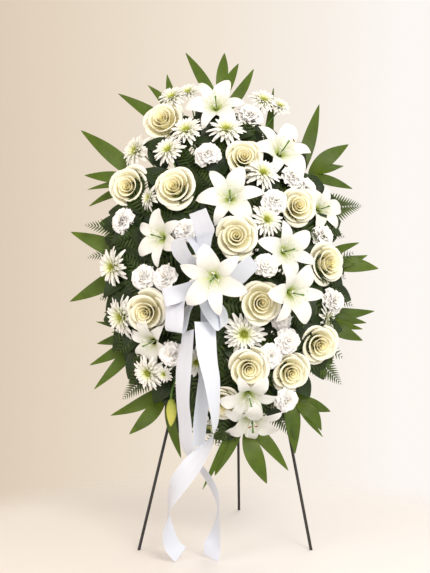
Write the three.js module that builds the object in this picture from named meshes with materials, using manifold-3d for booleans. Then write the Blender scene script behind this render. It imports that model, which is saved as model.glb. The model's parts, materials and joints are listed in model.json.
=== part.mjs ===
// Standing funeral spray: white flowers, palm, fern and a satin bow on a folding wire easel.
// Millimetres, +Z up, front towards -Y. The origin is on the floor, at the middle of the whole piece.
import * as THREE from "three";
import { mergeVertices } from "three/addons/utils/BufferGeometryUtils.js";
import Module from "manifold-3d";

const wasm = await Module();
wasm.setup();

// Easel
const wireRadius = 3.5;
const wireSides = 8;
const footHalfSpan = 198;
const leanRun = 0.231; // how far the front frame leans back for each unit of height
const leftRun = 0.235;
const rightRun = 0.18;
const easelTop = 873;
const hingeHeight = 861;
const rearFoot = new THREE.Vector3(42, 451, 0);
const rearTopX = 29;
const crownGap = 0.2; // half the gap between the two legs' ends at the top
const eyeGap = 0.5;
const eyeWidth = 7;
const lowerBarAt = 480; // along the leaning frame, from the floor

// Foam block and the tray behind it, measured in the leaning frame: x, along, out
const foamHalfWidth = 60;
const foamLow = 447;
const foamHigh = 867;
const foamBack = 9;
const foamFront = 89;
const trayWall = 2.5;
const trayRimOut = 31;
const trayGap = 0.3;
const strapOffset = 95;
const strapWidth = 10;
const strapThick = 2;
const hookGap = 0.4;
const hookThick = 2.5;

// Stems: where they aim inside the foam, how they fan out, and how deep they are pushed in
const spineOut = 34;
const fanRate = 0.018;
const stemDepth = 34;
const stemSides = 5;
const holeGap = 0.5;
const elbowOut = 8;

// The photograph's sight lines: its scale on the line of the front feet, and where it was taken from
const pixelSize = 2.3;
const viewDistance = 2520;
const viewHeight = 606;
const viewX = -23;
const middleColumn = 215;
const middleRow = 286.5;
const settleRounds = 30; // a place on a sight line is found by halving its error this many times

// The dome that the blooms stand on
const domeHalfWidth = 310;
const domeHalfHeight = 440;
const domeBulge = 185;
const domeBase = 62;
const domeHeight = 655;

const ribbonWidth = 50;
const ribbonThick = 0.9;
const tailClearance = 1; // the tails just miss the floor

const finish = (color, roughness, metalness = 0) =>
  new THREE.MeshStandardMaterial({ color, roughness, metalness, side: THREE.DoubleSide });
const blackWire = finish("#1e1a17", 0.45, 0.4);
const wetFoam = finish("#2f5a33", 0.95);
const greenPlastic = finish("#23502c", 0.5);
const rosePetal = finish("#f3efd9", 0.7);
const lilyPetal = finish("#f5f5ef", 0.6);
const carnationPetal = finish("#f7f6f2", 0.75);
const daisyPetal = finish("#f4f6ea", 0.7);
const palmLeaf = finish("#3f6a14", 0.5);
const fernLeaf = finish("#1f4415", 0.6);
const satin = finish("#e9ebf6", 0.35);

const part = new THREE.Group();
const vec = (x, y, z) => new THREE.Vector3(x, y, z);
const along = (from, direction, distance) => from.clone().addScaledVector(direction, distance);
const towards = (from, to) => to.clone().sub(from).normalize();
const radians = THREE.MathUtils.degToRad;

function solidOf(geometry) {
  const bare = geometry.index ? geometry.toNonIndexed() : geometry.clone();
  bare.deleteAttribute("normal");
  bare.deleteAttribute("uv");
  const merged = mergeVertices(bare, 1e-4);
  return new wasm.Manifold(
    new wasm.Mesh({
      numProp: 3,
      vertProperties: new Float32Array(merged.attributes.position.array),
      triVerts: new Uint32Array(merged.index.array),
    }),
  );
}

function geometryOf(solid) {
  const mesh = solid.getMesh();
  const geometry = new THREE.BufferGeometry();
  geometry.setAttribute("position", new THREE.BufferAttribute(mesh.vertProperties, 3));
  geometry.setIndex(new THREE.BufferAttribute(mesh.triVerts, 1));
  geometry.computeVertexNormals();
  return geometry;
}

const joined = (solids) => solids.reduce((whole, next) => whole.add(next));

function addPiece(name, solid, material) {
  const mesh = new THREE.Mesh(geometryOf(solid), material);
  mesh.name = name;
  part.add(mesh);
}

// A closed skin over rings of points. A ring of one point is a pole, a ring may have a whole
// number of times its neighbour's points, and the rings turn anticlockwise about the way they lead.
// Where turned says so, a face is split along its other diagonal, so that the two sides of a thin
// blade are split alike.
function skin(rings, turned = () => false) {
  const points = [];
  const starts = rings.map((ring) => points.push(...ring) - ring.length);
  const faces = [];
  for (let i = 0; i + 1 < rings.length; i++) {
    const [low, high] = [rings[i].length, rings[i + 1].length];
    const count = Math.max(low, high);
    const lowAt = (k) => starts[i] + (Math.floor((k * low) / count) % low);
    const highAt = (k) => starts[i + 1] + (Math.floor((k * high) / count) % high);
    for (let k = 0; k < count; k++) {
      const [lowPoint, highPoint] = turned(i, k) ? [lowAt(k + 1), highAt(k)] : [lowAt(k), highAt(k + 1)];
      if (lowAt(k) !== lowAt(k + 1)) faces.push(lowAt(k), lowAt(k + 1), highPoint);
      if (highAt(k) !== highAt(k + 1)) faces.push(lowPoint, highAt(k + 1), highAt(k));
    }
  }
  const geometry = new THREE.BufferGeometry().setFromPoints(points);
  geometry.setIndex(faces);
  return solidOf(geometry);
}

// A straight rod with a flat end at each end.
function rod(from, to, radius, sides) {
  const geometry = new THREE.CylinderGeometry(radius, radius, from.distanceTo(to), sides);
  const turn = new THREE.Quaternion().setFromUnitVectors(vec(0, 1, 0), towards(from, to));
  geometry.applyQuaternion(turn);
  const middle = from.clone().add(to).multiplyScalar(0.5);
  geometry.translate(middle.x, middle.y, middle.z);
  return solidOf(geometry);
}

const underside = (i, k) => k >= 2;

// Rings for a round bar through a row of points, mitred where it turns.
function barRings(points, radius, sides, reference) {
  const last = points.length - 1;
  return points.map((point, i) => {
    const before = i > 0 ? towards(points[i - 1], point) : towards(point, points[1]);
    const after = i < last ? towards(point, points[i + 1]) : before;
    const ahead = before.clone().add(after).normalize();
    const side = reference.clone().addScaledVector(ahead, -reference.dot(ahead)).normalize();
    const other = ahead.clone().cross(side);
    return Array.from({ length: sides }, (unused, k) => {
      const angle = (2 * Math.PI * k) / sides;
      return along(point, side, radius * Math.cos(angle)).addScaledVector(other, radius * Math.sin(angle));
    });
  });
}

function bar(points, radius, sides = stemSides, reference = referenceFor(points)) {
  return skin([[points[0]], ...barRings(points, radius, sides, reference), [points[points.length - 1]]]);
}

// A direction well off the way that a row of points leads.
function referenceFor(points) {
  const whole = towards(points[0], points[points.length - 1]);
  return Math.abs(whole.x) < 0.8 ? vec(1, 0, 0) : vec(0, 0, 1);
}

function box(low, high) {
  const geometry = new THREE.BoxGeometry(high[0] - low[0], high[1] - low[1], high[2] - low[2]);
  geometry.translate((low[0] + high[0]) / 2, (low[1] + high[1]) / 2, (low[2] + high[2]) / 2);
  return solidOf(geometry);
}

// A tapering leaf or petal with a raised midrib and thin edges. Each station has its middle,
// half width, the lift of its edges above the middle and how far they are swept ahead.
function blade(stations, up, thick) {
  const rings = stations.map((station, i) => {
    if (!station.half) return [station.at];
    const ahead = towards(stations[i - 1].at, stations[i + 1].at);
    const side = up.clone().cross(ahead).normalize();
    const normal = ahead.clone().cross(side).normalize();
    const edge = (sign) =>
      along(station.at, side, sign * station.half)
        .addScaledVector(normal, station.lift || 0)
        .addScaledVector(ahead, station.sweep || 0);
    return [edge(1), along(station.at, normal, thick / 2), edge(-1), along(station.at, normal, -thick / 2)];
  });
  return skin(rings, underside);
}

// The leaning frame's own directions, and a point given as x, along and out.
const lean = Math.atan(leanRun);
const upFrame = vec(0, Math.sin(lean), Math.cos(lean));
const outFrame = vec(0, -Math.cos(lean), Math.sin(lean));
const framePoint = (x, alongFrame, out) =>
  vec(x, 0, 0).addScaledVector(upFrame, alongFrame).addScaledVector(outFrame, out);
const toFrame = (point) => vec(point.x, point.dot(upFrame), point.dot(outFrame));
const leanTurn = new THREE.Matrix4().makeBasis(vec(1, 0, 0), upFrame, outFrame);

function frameBox(low, high) {
  return box(low, high).transform(leanTurn.elements);
}

// A place on a sight line of the photograph, at a depth y.
function sight(column, row, y) {
  const scale = pixelSize * (1 + y / viewDistance);
  return vec((column - middleColumn) * scale + viewX, y, viewHeight - (row - middleRow) * scale);
}

function domeRise(point) {
  const across = point.x / domeHalfWidth;
  const upwards = (point.z - domeHeight) / domeHalfHeight;
  return Math.max(0, 1 - across * across - upwards * upwards);
}

// Where a sight line meets the dome, brought forward by lift.
function spot({ column, row, lift = 0 }) {
  let y = 0;
  for (let i = 0; i < settleRounds; i++) {
    const point = sight(column, row, y);
    y += (leanRun * point.z - domeBase - domeBulge * domeRise(point) - y) / 2;
  }
  return sight(column, row, y - lift);
}

// Where a sight line comes to a set distance in front of the easel's leaning frame.
function spotOut(column, row, out) {
  let y = 0;
  for (let i = 0; i < settleRounds; i++) {
    const point = sight(column, row, y);
    y += (leanRun * point.z - out / Math.cos(lean) - y) / 2;
  }
  return sight(column, row, y);
}

// Which way a bloom faces: given as degrees to the right and up, or square to the dome.
function facing({ faces }, point) {
  if (faces) {
    const [right, up] = faces.map(radians);
    return vec(Math.sin(right) * Math.cos(up), -Math.cos(right) * Math.cos(up), Math.sin(up));
  }
  return vec(
    (2 * domeBulge * point.x) / domeHalfWidth ** 2,
    -1,
    leanRun + (2 * domeBulge * (point.z - domeHeight)) / domeHalfHeight ** 2,
  ).normalize();
}

// Turns rings made about +Z so that they face the given way, and sets them in their place.
function setRings(rings, point, direction, roll = 0) {
  const turn = new THREE.Quaternion().setFromUnitVectors(vec(0, 0, 1), direction);
  turn.multiply(new THREE.Quaternion().setFromAxisAngle(vec(0, 0, 1), radians(roll)));
  const set = (p) => p.clone().applyQuaternion(turn).add(point);
  return { rings: rings.map((ring) => ring.map(set)), reference: vec(1, 0, 0).applyQuaternion(turn) };
}

// Rings of a bloom: each has a radius and height at its petals' clefts and at their crests,
// and lobe gives each sample its share between the two.
function petalRings(size, rows) {
  return rows.map(({ samples, radius, height, lobe }) => {
    if (!samples) return [vec(0, 0, height * size)];
    return Array.from({ length: samples }, (unused, k) => {
      const share = lobe ? lobe(k) : 0;
      const reach = THREE.MathUtils.lerp(radius[0], radius[1] || radius[0], share) * size;
      const angle = (2 * Math.PI * k) / samples;
      const rise = THREE.MathUtils.lerp(height[0], height[1] || height[0], share) * size;
      return vec(reach * Math.cos(angle), reach * Math.sin(angle), rise);
    });
  });
}

// An open rose: five outer petals, five inner ones between them and three round the heart,
// each lapping over the next.
const roseBack = 1.2;
function roseHead(width) {
  const lap = (petals, shift) => (k) => {
    const span = 15 / petals;
    return ((k + shift) % span) / (span - 1);
  };
  return petalRings(width / 2, [
    { samples: 5, radius: [0.2], height: [-1.0] },
    { samples: 15, radius: [0.46, 0.54], height: [-0.82, -0.78], lobe: lap(5, 0) },
    { samples: 15, radius: [0.8, 1.0], height: [-0.1, -0.2], lobe: lap(5, 0) },
    { samples: 15, radius: [0.6], height: [-0.12] },
    { samples: 15, radius: [0.54, 0.7], height: [0.12, 0.26], lobe: lap(5, 1) },
    { samples: 15, radius: [0.42], height: [0.04] },
    { samples: 15, radius: [0.28, 0.42], height: [0.24, 0.36], lobe: lap(3, 2) },
    { samples: 5, radius: [0.16], height: [0.16] },
    { height: 0.3 },
  ]);
}

const crest = (k) => k % 2;
const cleft = (k) => (k + 1) % 2;

// A spray carnation: a long calyx and three ruffled frills.
const carnationBack = 1.7;
function carnationHead(width) {
  return petalRings(width / 2, [
    { samples: 5, radius: [0.28], height: [-0.6] },
    { samples: 10, radius: [0.8, 1.0], height: [-0.32, -0.1], lobe: crest },
    { samples: 10, radius: [0.56, 0.62], height: [-0.1, -0.05], lobe: crest },
    { samples: 10, radius: [0.58, 0.76], height: [0.05, 0.24], lobe: cleft },
    { samples: 10, radius: [0.32, 0.36], height: [0.12, 0.15], lobe: cleft },
    { samples: 10, radius: [0.24, 0.4], height: [0.28, 0.44], lobe: crest },
    { height: 0.16 },
  ]);
}

// A daisy chrysanthemum: two rings of pointed rays round a low eye.
const daisyBack = 0.6;
function daisyHead(width) {
  return petalRings(width / 2, [
    { samples: 6, radius: [0.12], height: [-0.5] },
    { samples: 18, radius: [0.44, 1.0], height: [-0.14, -0.04], lobe: crest },
    { samples: 9, radius: [0.36], height: [0.0] },
    { samples: 18, radius: [0.34, 0.78], height: [0.08, 0.2], lobe: cleft },
    { samples: 6, radius: [0.25], height: [0.14] },
    { height: 0.26 },
  ]);
}

// A lily: six pointed tepals curling back from a trumpet, three broad and three narrow, and the pistil.
const lilyBack = 0.6;
function lilyHead(width) {
  const perTepal = 4; // cleft, side, tip, side
  const ring = (...places) =>
    Array.from({ length: 6 * perTepal }, (unused, k) => {
      const broad = Math.floor(k / perTepal) % 2 ? 1 : 0.8;
      const [reach, height] = [places[0], places[1], places[2], places[1]][k % perTepal];
      const turn = [-30, -21 * broad, 0, 21 * broad][k % perTepal] + 60 * Math.floor(k / perTepal);
      const angle = radians(turn);
      return vec(reach * Math.cos(angle), reach * Math.sin(angle), height).multiplyScalar(width);
    });
  const neck = (radius, height) =>
    ring([radius, height], [radius, height], [radius, height]).filter((unused, k) => k % perTepal === 0);
  return [
    neck(0.05, -0.38),
    ring([0.13, -0.2], [0.2, -0.13], [0.27, -0.09]),
    ring([0.17, -0.15], [0.37, -0.03], [0.52, -0.12]),
    ring([0.13, -0.165], [0.22, -0.08], [0.29, -0.055]),
    neck(0.03, -0.28),
    [vec(0, 0, 0.14 * width)],
  ];
}

const holes = [];
const straps = [-strapOffset, strapOffset].map((offset) => (foamLow + foamHigh) / 2 + offset);

// A stem's place in the foam. It aims at a line inside the block, fanned out along it, and is
// pushed straight in where it meets the block. It keeps clear of the straps.
function foamEntry(point, radius) {
  const place = toFrame(point);
  const middle = (foamLow + foamHigh) / 2;
  const spread = Math.hypot(place.x, place.z - spineOut);
  const aim = vec(0, middle + (place.y - middle) / (1 + fanRate * spread), spineOut);
  const inside = (p) =>
    Math.abs(p.x) < foamHalfWidth && p.y > foamLow && p.y < foamHigh && p.z > foamBack && p.z < foamFront;
  const walk = towards(place, aim);
  let distance = 0;
  while (!inside(along(place, walk, distance))) distance += 1;
  const mouth = along(place, walk, distance);
  mouth.z = Math.max(mouth.z, trayRimOut + radius + 4);
  const onFace = mouth.y > foamLow + 4 && mouth.y < foamHigh - 4;
  for (const strap of onFace ? straps : []) {
    const keep = strapWidth / 2 + radius + 4.5;
    if (Math.abs(mouth.y - strap) < keep) mouth.y = strap + keep * (mouth.y < strap ? -1 : 1);
  }
  const inwards = towards(place, mouth).lerp(walk, 0.5).normalize();
  const real = (p) => framePoint(p.x, p.y, p.z);
  return { end: real(along(mouth, inwards, stemDepth)), elbow: real(along(mouth, inwards, -elbowOut)) };
}

// The foam end of a stem that leads to a point: the points inside the foam and just outside, and
// the hole that they stand in.
function footing(point, radius, sides, reference) {
  const { end, elbow } = foamEntry(point, radius);
  const inwards = towards(elbow, end);
  holes.push(bar([along(end, inwards, 0.6), along(elbow, inwards, 1)], radius + holeGap, sides, reference));
  return [end, elbow];
}

function stemAlong(points, radius, sides) {
  const reference = referenceFor([foamEntry(points[0], radius).end, ...points]);
  return bar([...footing(points[0], radius, sides, reference), ...points], radius, sides, reference);
}

// A closed lily bud, blunt at its neck and pointed at its tip.
const budBack = 0.45;
function budHead(length) {
  const ring = (radius, height) =>
    Array.from({ length: 6 }, (unused, k) => {
      const angle = radians(60 * k);
      return vec(radius * Math.cos(angle), radius * Math.sin(angle), height).multiplyScalar(length);
    });
  return [ring(0.07, -0.45), ring(0.15, -0.22), ring(0.19, 0.08), ring(0.11, 0.36), [vec(0, 0, 0.5 * length)]];
}

const heads = {
  rose: { make: roseHead, back: 0.5 * roseBack, stem: 3, sides: 5 },
  lily: { make: lilyHead, back: lilyBack, stem: 3.2, sides: 6, edge: 3 },
  bud: { make: budHead, back: budBack + 0.1 },
  carnation: { make: carnationHead, back: 0.5 * carnationBack, stem: 2, sides: 5 },
  daisy: { make: daisyHead, back: 0.5 * daisyBack, stem: 2, sides: 3 },
};

function bloom(kind, place) {
  const { make, back } = heads[place.kind || kind];
  const middle = spot(place);
  const direction = facing(place, middle);
  const size = place.width * (1 + middle.y / viewDistance);
  return { ...setRings(make(size), middle, direction, place.roll), base: along(middle, direction, -back * size) };
}

// One or more blooms on a stem that forks between the foam and the blooms. The first bloom takes
// the main stem, and the others branch off it.
function spray(name, kind, material, places) {
  const { stem, sides, edge = Infinity } = heads[kind];
  const blooms = places.map((place) => bloom(kind, place));
  const middle = vec(0, 0, 0);
  for (const { base } of blooms) middle.addScaledVector(base, 1 / blooms.length);
  const { elbow } = foamEntry(middle, stem);
  const fork = elbow.clone().lerp(middle, places[0].fork || 0.35);
  const pieces = blooms.map(({ rings, reference, base }, i) => {
    const branch = [along(fork, towards(fork, base), -0.3 * stem), base];
    let points = branch;
    if (i === 0) {
      const far = blooms.length > 1 ? fork : base;
      points = [...footing(far, stem, sides, reference), ...(blooms.length > 1 ? [fork] : []), base];
    }
    const bars = barRings(points, i === 0 ? stem : stem * 0.8, sides, reference);
    const turned = (ring) => ring >= bars.length + edge;
    return skin([[points[0]], ...bars, ...rings], turned);
  });
  addPiece(name, joined(pieces), material);
}

// A palm frond: a rib from the foam with pointed leaflets along its last stretch.
function palmFrond(name, { rib, out, leaflets }) {
  const ribPoints = rib.map(([column, row, depth]) => spotOut(column, row, depth));
  const pieces = [stemAlong(ribPoints, 2, 4)];
  const path = new THREE.CatmullRomCurve3(ribPoints);
  leaflets.forEach(({ from, tip, width, depth = out, droop = 6 }) => {
    const root = path.getPoint(from);
    const end = spotOut(tip[0], tip[1], depth);
    const ahead = towards(root, end);
    const base = along(root, ahead, -3);
    const length = base.distanceTo(end);
    const up = outFrame;
    const at = (share, sag) => along(base, ahead, share * length).addScaledVector(up, sag);
    pieces.push(
      blade(
        [
          { at: at(0, 0) },
          { at: at(0.35, droop * 0.8), half: width * 0.47, lift: -2 },
          { at: at(0.72, droop * 0.8), half: width * 0.42, lift: -2 },
          { at: at(1, 0) },
        ],
        up,
        2.2,
      ),
    );
  });
  addPiece(name, joined(pieces), palmLeaf);
}

function addEasel() {
  const legAt = (side, z) => vec(side * footHalfSpan - side * (side < 0 ? leftRun : rightRun) * z, leanRun * z, z);
  const crown = legAt(-1, easelTop).add(legAt(1, easelTop)).multiplyScalar(0.5);
  crown.addScaledVector(upFrame, 14);
  for (const [name, side] of [
    ["easel_leg_left", -1],
    ["easel_leg_right", 1],
  ]) {
    const foot = legAt(side, -30);
    const top = legAt(side, easelTop);
    const shoulder = top.clone().lerp(crown, 0.45).addScaledVector(upFrame, 4.5);
    const end = along(crown, vec(-side, 0, 0), 3);
    const leg = bar([foot, top, shoulder, end], wireRadius, wireSides, vec(0, 1, 0));
    const inner = crown.x + side * crownGap;
    const half = box([Math.min(inner, side * 400), -50, 0], [Math.max(inner, side * 400), 400, 1000]);
    addPiece(name, leg.intersect(half), blackWire);
  }
  const crossbar = (name, height, clear) => {
    const ends = [-1, 1].map((side) => along(legAt(side, height), vec(-side, 0, 0), clear));
    addPiece(name, rod(ends[0], ends[1], wireRadius, wireSides), blackWire);
  };
  const barClear = wireRadius * 1.03 + 1.2;
  crossbar("easel_crossbar_upper", hingeHeight, barClear);
  crossbar("easel_crossbar_lower", lowerBarAt * Math.cos(lean), barClear);

  const hinge = vec(rearTopX, leanRun * hingeHeight, hingeHeight);
  const outline = new THREE.Shape();
  outline.absarc(0, 0, wireRadius + eyeGap + 4, 0, 2 * Math.PI);
  const hole = new THREE.Path();
  hole.absarc(0, 0, wireRadius + eyeGap, 0, 2 * Math.PI, true);
  outline.holes.push(hole);
  const ring = new THREE.ExtrudeGeometry(outline, { depth: eyeWidth, bevelEnabled: false, curveSegments: 5 });
  ring.translate(0, 0, -eyeWidth / 2);
  ring.rotateY(Math.PI / 2);
  ring.translate(hinge.x, hinge.y, hinge.z);
  const downLeg = towards(hinge, rearFoot);
  const start = along(hinge, downLeg, wireRadius + eyeGap + 1.8);
  const rear = rod(start, along(rearFoot, downLeg, 20), wireRadius, wireSides).subtract(
    box([-100, 300, -60], [200, 600, 0]),
  );
  addPiece("easel_leg_rear", rear.add(solidOf(ring)), blackWire);
}

function addHolder() {
  const middle = (foamLow + foamHigh) / 2;
  let foam = frameBox([-foamHalfWidth, foamLow, foamBack], [foamHalfWidth, foamHigh, foamFront]);
  for (const hole of holes) foam = foam.subtract(hole);
  addPiece("floral_foam", foam, wetFoam);

  const wide = foamHalfWidth + trayGap;
  const low = foamLow - trayGap;
  const high = foamHigh + trayGap;
  const floorOut = foamBack - trayGap;
  let tray = frameBox(
    [-wide - trayWall, low - trayWall, floorOut - trayWall],
    [wide + trayWall, high + trayWall, trayRimOut],
  ).subtract(frameBox([-wide, low, floorOut], [wide, high, trayRimOut + 10]));
  for (const strap of straps) {
    const outer = frameBox(
      [-wide - strapThick, strap - strapWidth / 2, trayRimOut - 6],
      [wide + strapThick, strap + strapWidth / 2, foamFront + trayGap + strapThick],
    );
    const inner = frameBox(
      [-wide, strap - strapWidth, trayRimOut - 20],
      [wide, strap + strapWidth, foamFront + trayGap],
    );
    tray = tray.add(outer.subtract(inner));
  }
  // Hooks over the upper and lower crossbars
  const grip = wireRadius + hookGap;
  const lip = grip + hookThick;
  const backOut = floorOut - trayWall + 0.5;
  for (const [x, halfWide, bar] of [
    [16, 5, hingeHeight / Math.cos(lean)],
    [-48, 6, lowerBarAt],
    [50, 6, lowerBarAt],
  ]) {
    const hook = frameBox([x - halfWide, bar - 9, -lip], [x + halfWide, bar + lip, backOut]);
    const slot = frameBox([x - 20, bar - 20, -grip], [x + 20, bar + grip, grip]);
    const stalk = frameBox([x - halfWide, Math.min(bar - 8, foamHigh - 10), grip], [x + halfWide, bar, backOut]);
    tray = tray.add(hook.subtract(slot)).add(stalk);
  }
  addPiece("spray_cage", tray, greenPlastic);
}

// A flat ribbon along a row of places, with the way that its width lies at each.
function band(stations, thick = ribbonThick) {
  const rings = stations.map(({ at, across, width = ribbonWidth }, i) => {
    const before = stations[Math.max(0, i - 1)].at;
    const after = stations[Math.min(stations.length - 1, i + 1)].at;
    const ahead = towards(before, after);
    const side = across.clone().addScaledVector(ahead, -across.dot(ahead)).normalize();
    const normal = ahead.clone().cross(side);
    const corner = (s, n) => along(at, side, (s * width) / 2).addScaledVector(normal, (n * thick) / 2);
    return [corner(1, 1), corner(-1, 1), corner(-1, -1), corner(1, -1)];
  });
  const last = stations.length - 1;
  return skin([[stations[0].at], ...rings, [stations[last].at]], underside);
}

function addRibbon() {
  const knot = sight(202, 288, -112);
  const loop = ({ end, depth, open, across, bulge }) => {
    const far = sight(end[0], end[1], depth);
    const ahead = towards(knot, far);
    const length = knot.distanceTo(far);
    const side = across.clone().addScaledVector(ahead, -across.dot(ahead)).normalize();
    const normal = side.clone().cross(ahead).normalize();
    const outline = [
      [0.02, 0],
      [0.35, 0.75],
      [0.75, 1],
      [1, 0],
      [0.75, -1],
      [0.35, -0.75],
      [0.02, 0.02],
    ];
    const path = new THREE.CatmullRomCurve3(
      outline.map(([share, spread]) =>
        along(knot, ahead, share * length)
          .addScaledVector(normal, spread * open)
          .add(vec(0, -(bulge || 0) * Math.sin(Math.PI * share), 0)),
      ),
      false,
      "centripetal",
    );
    const steps = 8;
    const gather = (share) => ribbonWidth * Math.min(1, 0.24 + 2.6 * Math.min(share, 1 - share));
    return band(path.getPoints(steps).map((at, i) => ({ at, across: side, width: gather(i / steps) })));
  };
  const loops = [
    { end: [197, 211], depth: -128, open: 13, across: vec(1, -0.5, 0.2) },
    { end: [172, 254], depth: -135, open: 16, across: vec(0.3, -0.8, 0.7) },
    { end: [162, 298], depth: -138, open: 15, across: vec(0.1, -0.35, 1) },
    { end: [174, 331], depth: -135, open: 13, across: vec(1, -0.4, -0.5) },
    { end: [221, 328], depth: -140, open: 13, across: vec(1, 0.5, -0.2) },
    { end: [256, 266], depth: -132, open: 13, across: vec(0.4, 0.2, 1) },
  ];
  const core = new THREE.SphereGeometry(15, 8, 6);
  core.scale(1, 0.8, 1);
  core.translate(knot.x, knot.y, knot.z);
  const entry = foamEntry(knot, 2);
  // Column and row in the photograph, depth in front of the feet, turn about the upright, and width
  const streamer = (places) =>
    band(
      places.map(([column, row, depth, yaw, width]) => ({
        at: sight(column, row, -depth),
        across: vec(Math.cos(radians(yaw)), Math.sin(radians(yaw)), 0),
        width,
      })),
    );
  const middleStreamer = streamer([
    [202, 290, 108, 35, 14],
    [200, 312, 106, 35, 30],
    [199, 340, 108, 35],
    [199.5, 370, 112, 35],
    [201, 400, 112, 30],
    [200, 425, 110, 30],
    [199, 446, 106, 30],
  ]);
  const pick = stemAlong([along(knot, towards(knot, entry.elbow), 5)], 2, 4);
  addPiece("ribbon_bow", joined([solidOf(core), ...loops.map(loop), middleStreamer, pick]), satin);
  const aboveFloor = box([-400, -400, tailClearance], [400, 400, 900]);
  const tail = (name, places) => addPiece(name, streamer(places).intersect(aboveFloor), satin);
  tail("ribbon_tail_left", [
    [205, 322, 134, 25],
    [207, 347, 150, 20],
    [209, 372, 154, 35],
    [214, 400, 158, 50],
    [214, 430, 162, 60],
    [200, 452, 168, 25],
    [186, 478, 162, 10],
    [176, 505, 128, 60],
    [168, 520, 112, 70],
    [172, 544, 98, 45],
    [180, 557, 93, 35],
  ]);
  tail("ribbon_tail_right", [
    [188, 331, 123, -60],
    [186, 356, 136, -45],
    [183.5, 385, 140, -40],
    [184, 420, 141, -45],
    [188, 445, 136, -35],
    [197, 462, 126, -20],
    [208, 482, 120, -45],
    [217, 508, 112, -75],
    [217, 530, 102, -55],
    [212, 546, 96, -25],
    [211, 558, 93, -30],
  ]);
}

function addFern(name, { from, to, out, tipOut, width }) {
  const base = spotOut(from[0], from[1], out);
  const tip = spotOut(to[0], to[1], tipOut);
  const ahead = towards(base, tip);
  const length = base.distanceTo(tip);
  const teeth = 7;
  const sweep = (0.6 * length) / (2 * teeth + 1);
  const stations = [{ at: base.clone() }];
  for (let k = 1; k <= 2 * teeth; k++) {
    const share = k / (2 * teeth + 1);
    const envelope = width * 0.5 * Math.min(1, 3 * share) * (1 - share) * 1.35 + 2;
    const tooth = k % 2;
    const at = along(base, ahead, share * length).addScaledVector(outFrame, 10 * Math.sin(Math.PI * share));
    stations.push({ at, half: tooth ? envelope : envelope * 0.42, lift: -2, sweep: tooth ? sweep : 0 });
  }
  stations.push({ at: tip });
  addPiece(name, stemAlong([along(base, ahead, 3)], 1.8, 4).add(blade(stations, outFrame, 1.4)), fernLeaf);
}

const roses = [
  { column: 162, row: 120, width: 91, faces: [-35, 35] },
  { column: 128, row: 187, width: 98, faces: [-65, 10] },
  { column: 174, row: 187, width: 103, faces: [-15, 15] },
  { column: 243.8, row: 157, width: 87, faces: [5, 25], lift: -6 },
  { column: 236, row: 236.5, width: 105, faces: [0, 8] },
  { column: 298, row: 206, width: 80, faces: [30, 15] },
  { column: 261, row: 303, width: 103, faces: [10, 0] },
  { column: 145.5, row: 313, width: 94, faces: [-50, -10] },
  { column: 320, row: 345, width: 87, faces: [45, -20] },
  { column: 249, row: 369, width: 92, faces: [5, -15] },
  { column: 291, row: 373, width: 89, faces: [20, -20] },
  { column: 328.5, row: 263.5, width: 92, faces: [62, 5] },
  { column: 219.5, row: 407, width: 78, faces: [-5, -40], lift: -45 },
  { column: 273.5, row: 403, width: 73, faces: [15, -35], lift: -50 },
];
roses.forEach((place, i) => spray("rose_" + String(i + 1).padStart(2, "0"), "rose", rosePetal, [place]));

const lilies = [
  [{ column: 215, row: 101, width: 127, faces: [-8, 48], lift: 10 }],
  [
    { column: 285, row: 146, width: 143, faces: [22, 28], lift: 24, roll: 22, fork: 0.5 },
    { column: 325, row: 207, width: 110, faces: [55, 12], lift: 10, roll: -20 },
  ],
  [
    { column: 229, row: 194, width: 143, faces: [-5, 15], lift: 15 },
    { column: 155, row: 236.5, width: 127, faces: [-35, 5], lift: 15 },
    { column: 211.5, row: 280.4, width: 152, faces: [-10, -18], lift: 104 },
  ],
  [
    { column: 290, row: 250, width: 136, faces: [22, 5], lift: 20 },
    { column: 298, row: 294.5, width: 143, faces: [30, -8], lift: 65, roll: 30 },
  ],
  [
    { column: 146.7, row: 345, width: 101, faces: [-58, -25], fork: 0.5 },
    { column: 171, row: 412.5, width: 62, faces: [-5, -80], kind: "bud" },
  ],
  [
    { column: 249.5, row: 402, width: 120, faces: [5, -50], lift: 10 },
    { column: 249.5, row: 428, width: 127, faces: [0, -72] },
  ],
];
lilies.forEach((places, i) => spray("lily_" + (i + 1), "lily", lilyPetal, places));

const carnations = [
  [
    { column: 207, row: 152, width: 51 },
    { column: 250, row: 113, width: 51 },
  ],
  [
    { column: 294.8, row: 175, width: 48, lift: 6 },
    { column: 276.3, row: 199.4, width: 51, lift: 20 },
    { column: 307, row: 187, width: 48, lift: -8 },
  ],
  [
    { column: 120.6, row: 220, width: 51 },
    { column: 183.6, row: 229, width: 51 },
  ],
  [
    { column: 141, row: 277, width: 51 },
    { column: 163, row: 277, width: 51 },
    { column: 169.7, row: 355, width: 51 },
  ],
  [
    { column: 267.8, row: 265, width: 48, lift: 22 },
    { column: 324.5, row: 235.5, width: 51, lift: -10 },
    { column: 335.7, row: 301.4, width: 51, lift: -8 },
  ],
  [
    { column: 283, row: 319.6, width: 44, lift: -25 },
    { column: 290, row: 342, width: 51 },
    { column: 272, row: 357, width: 48, lift: -8 },
    { column: 288, row: 402, width: 48, lift: 18 },
  ],
];
carnations.forEach((places, i) => spray("carnation_spray_" + (i + 1), "carnation", carnationPetal, places));

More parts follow.
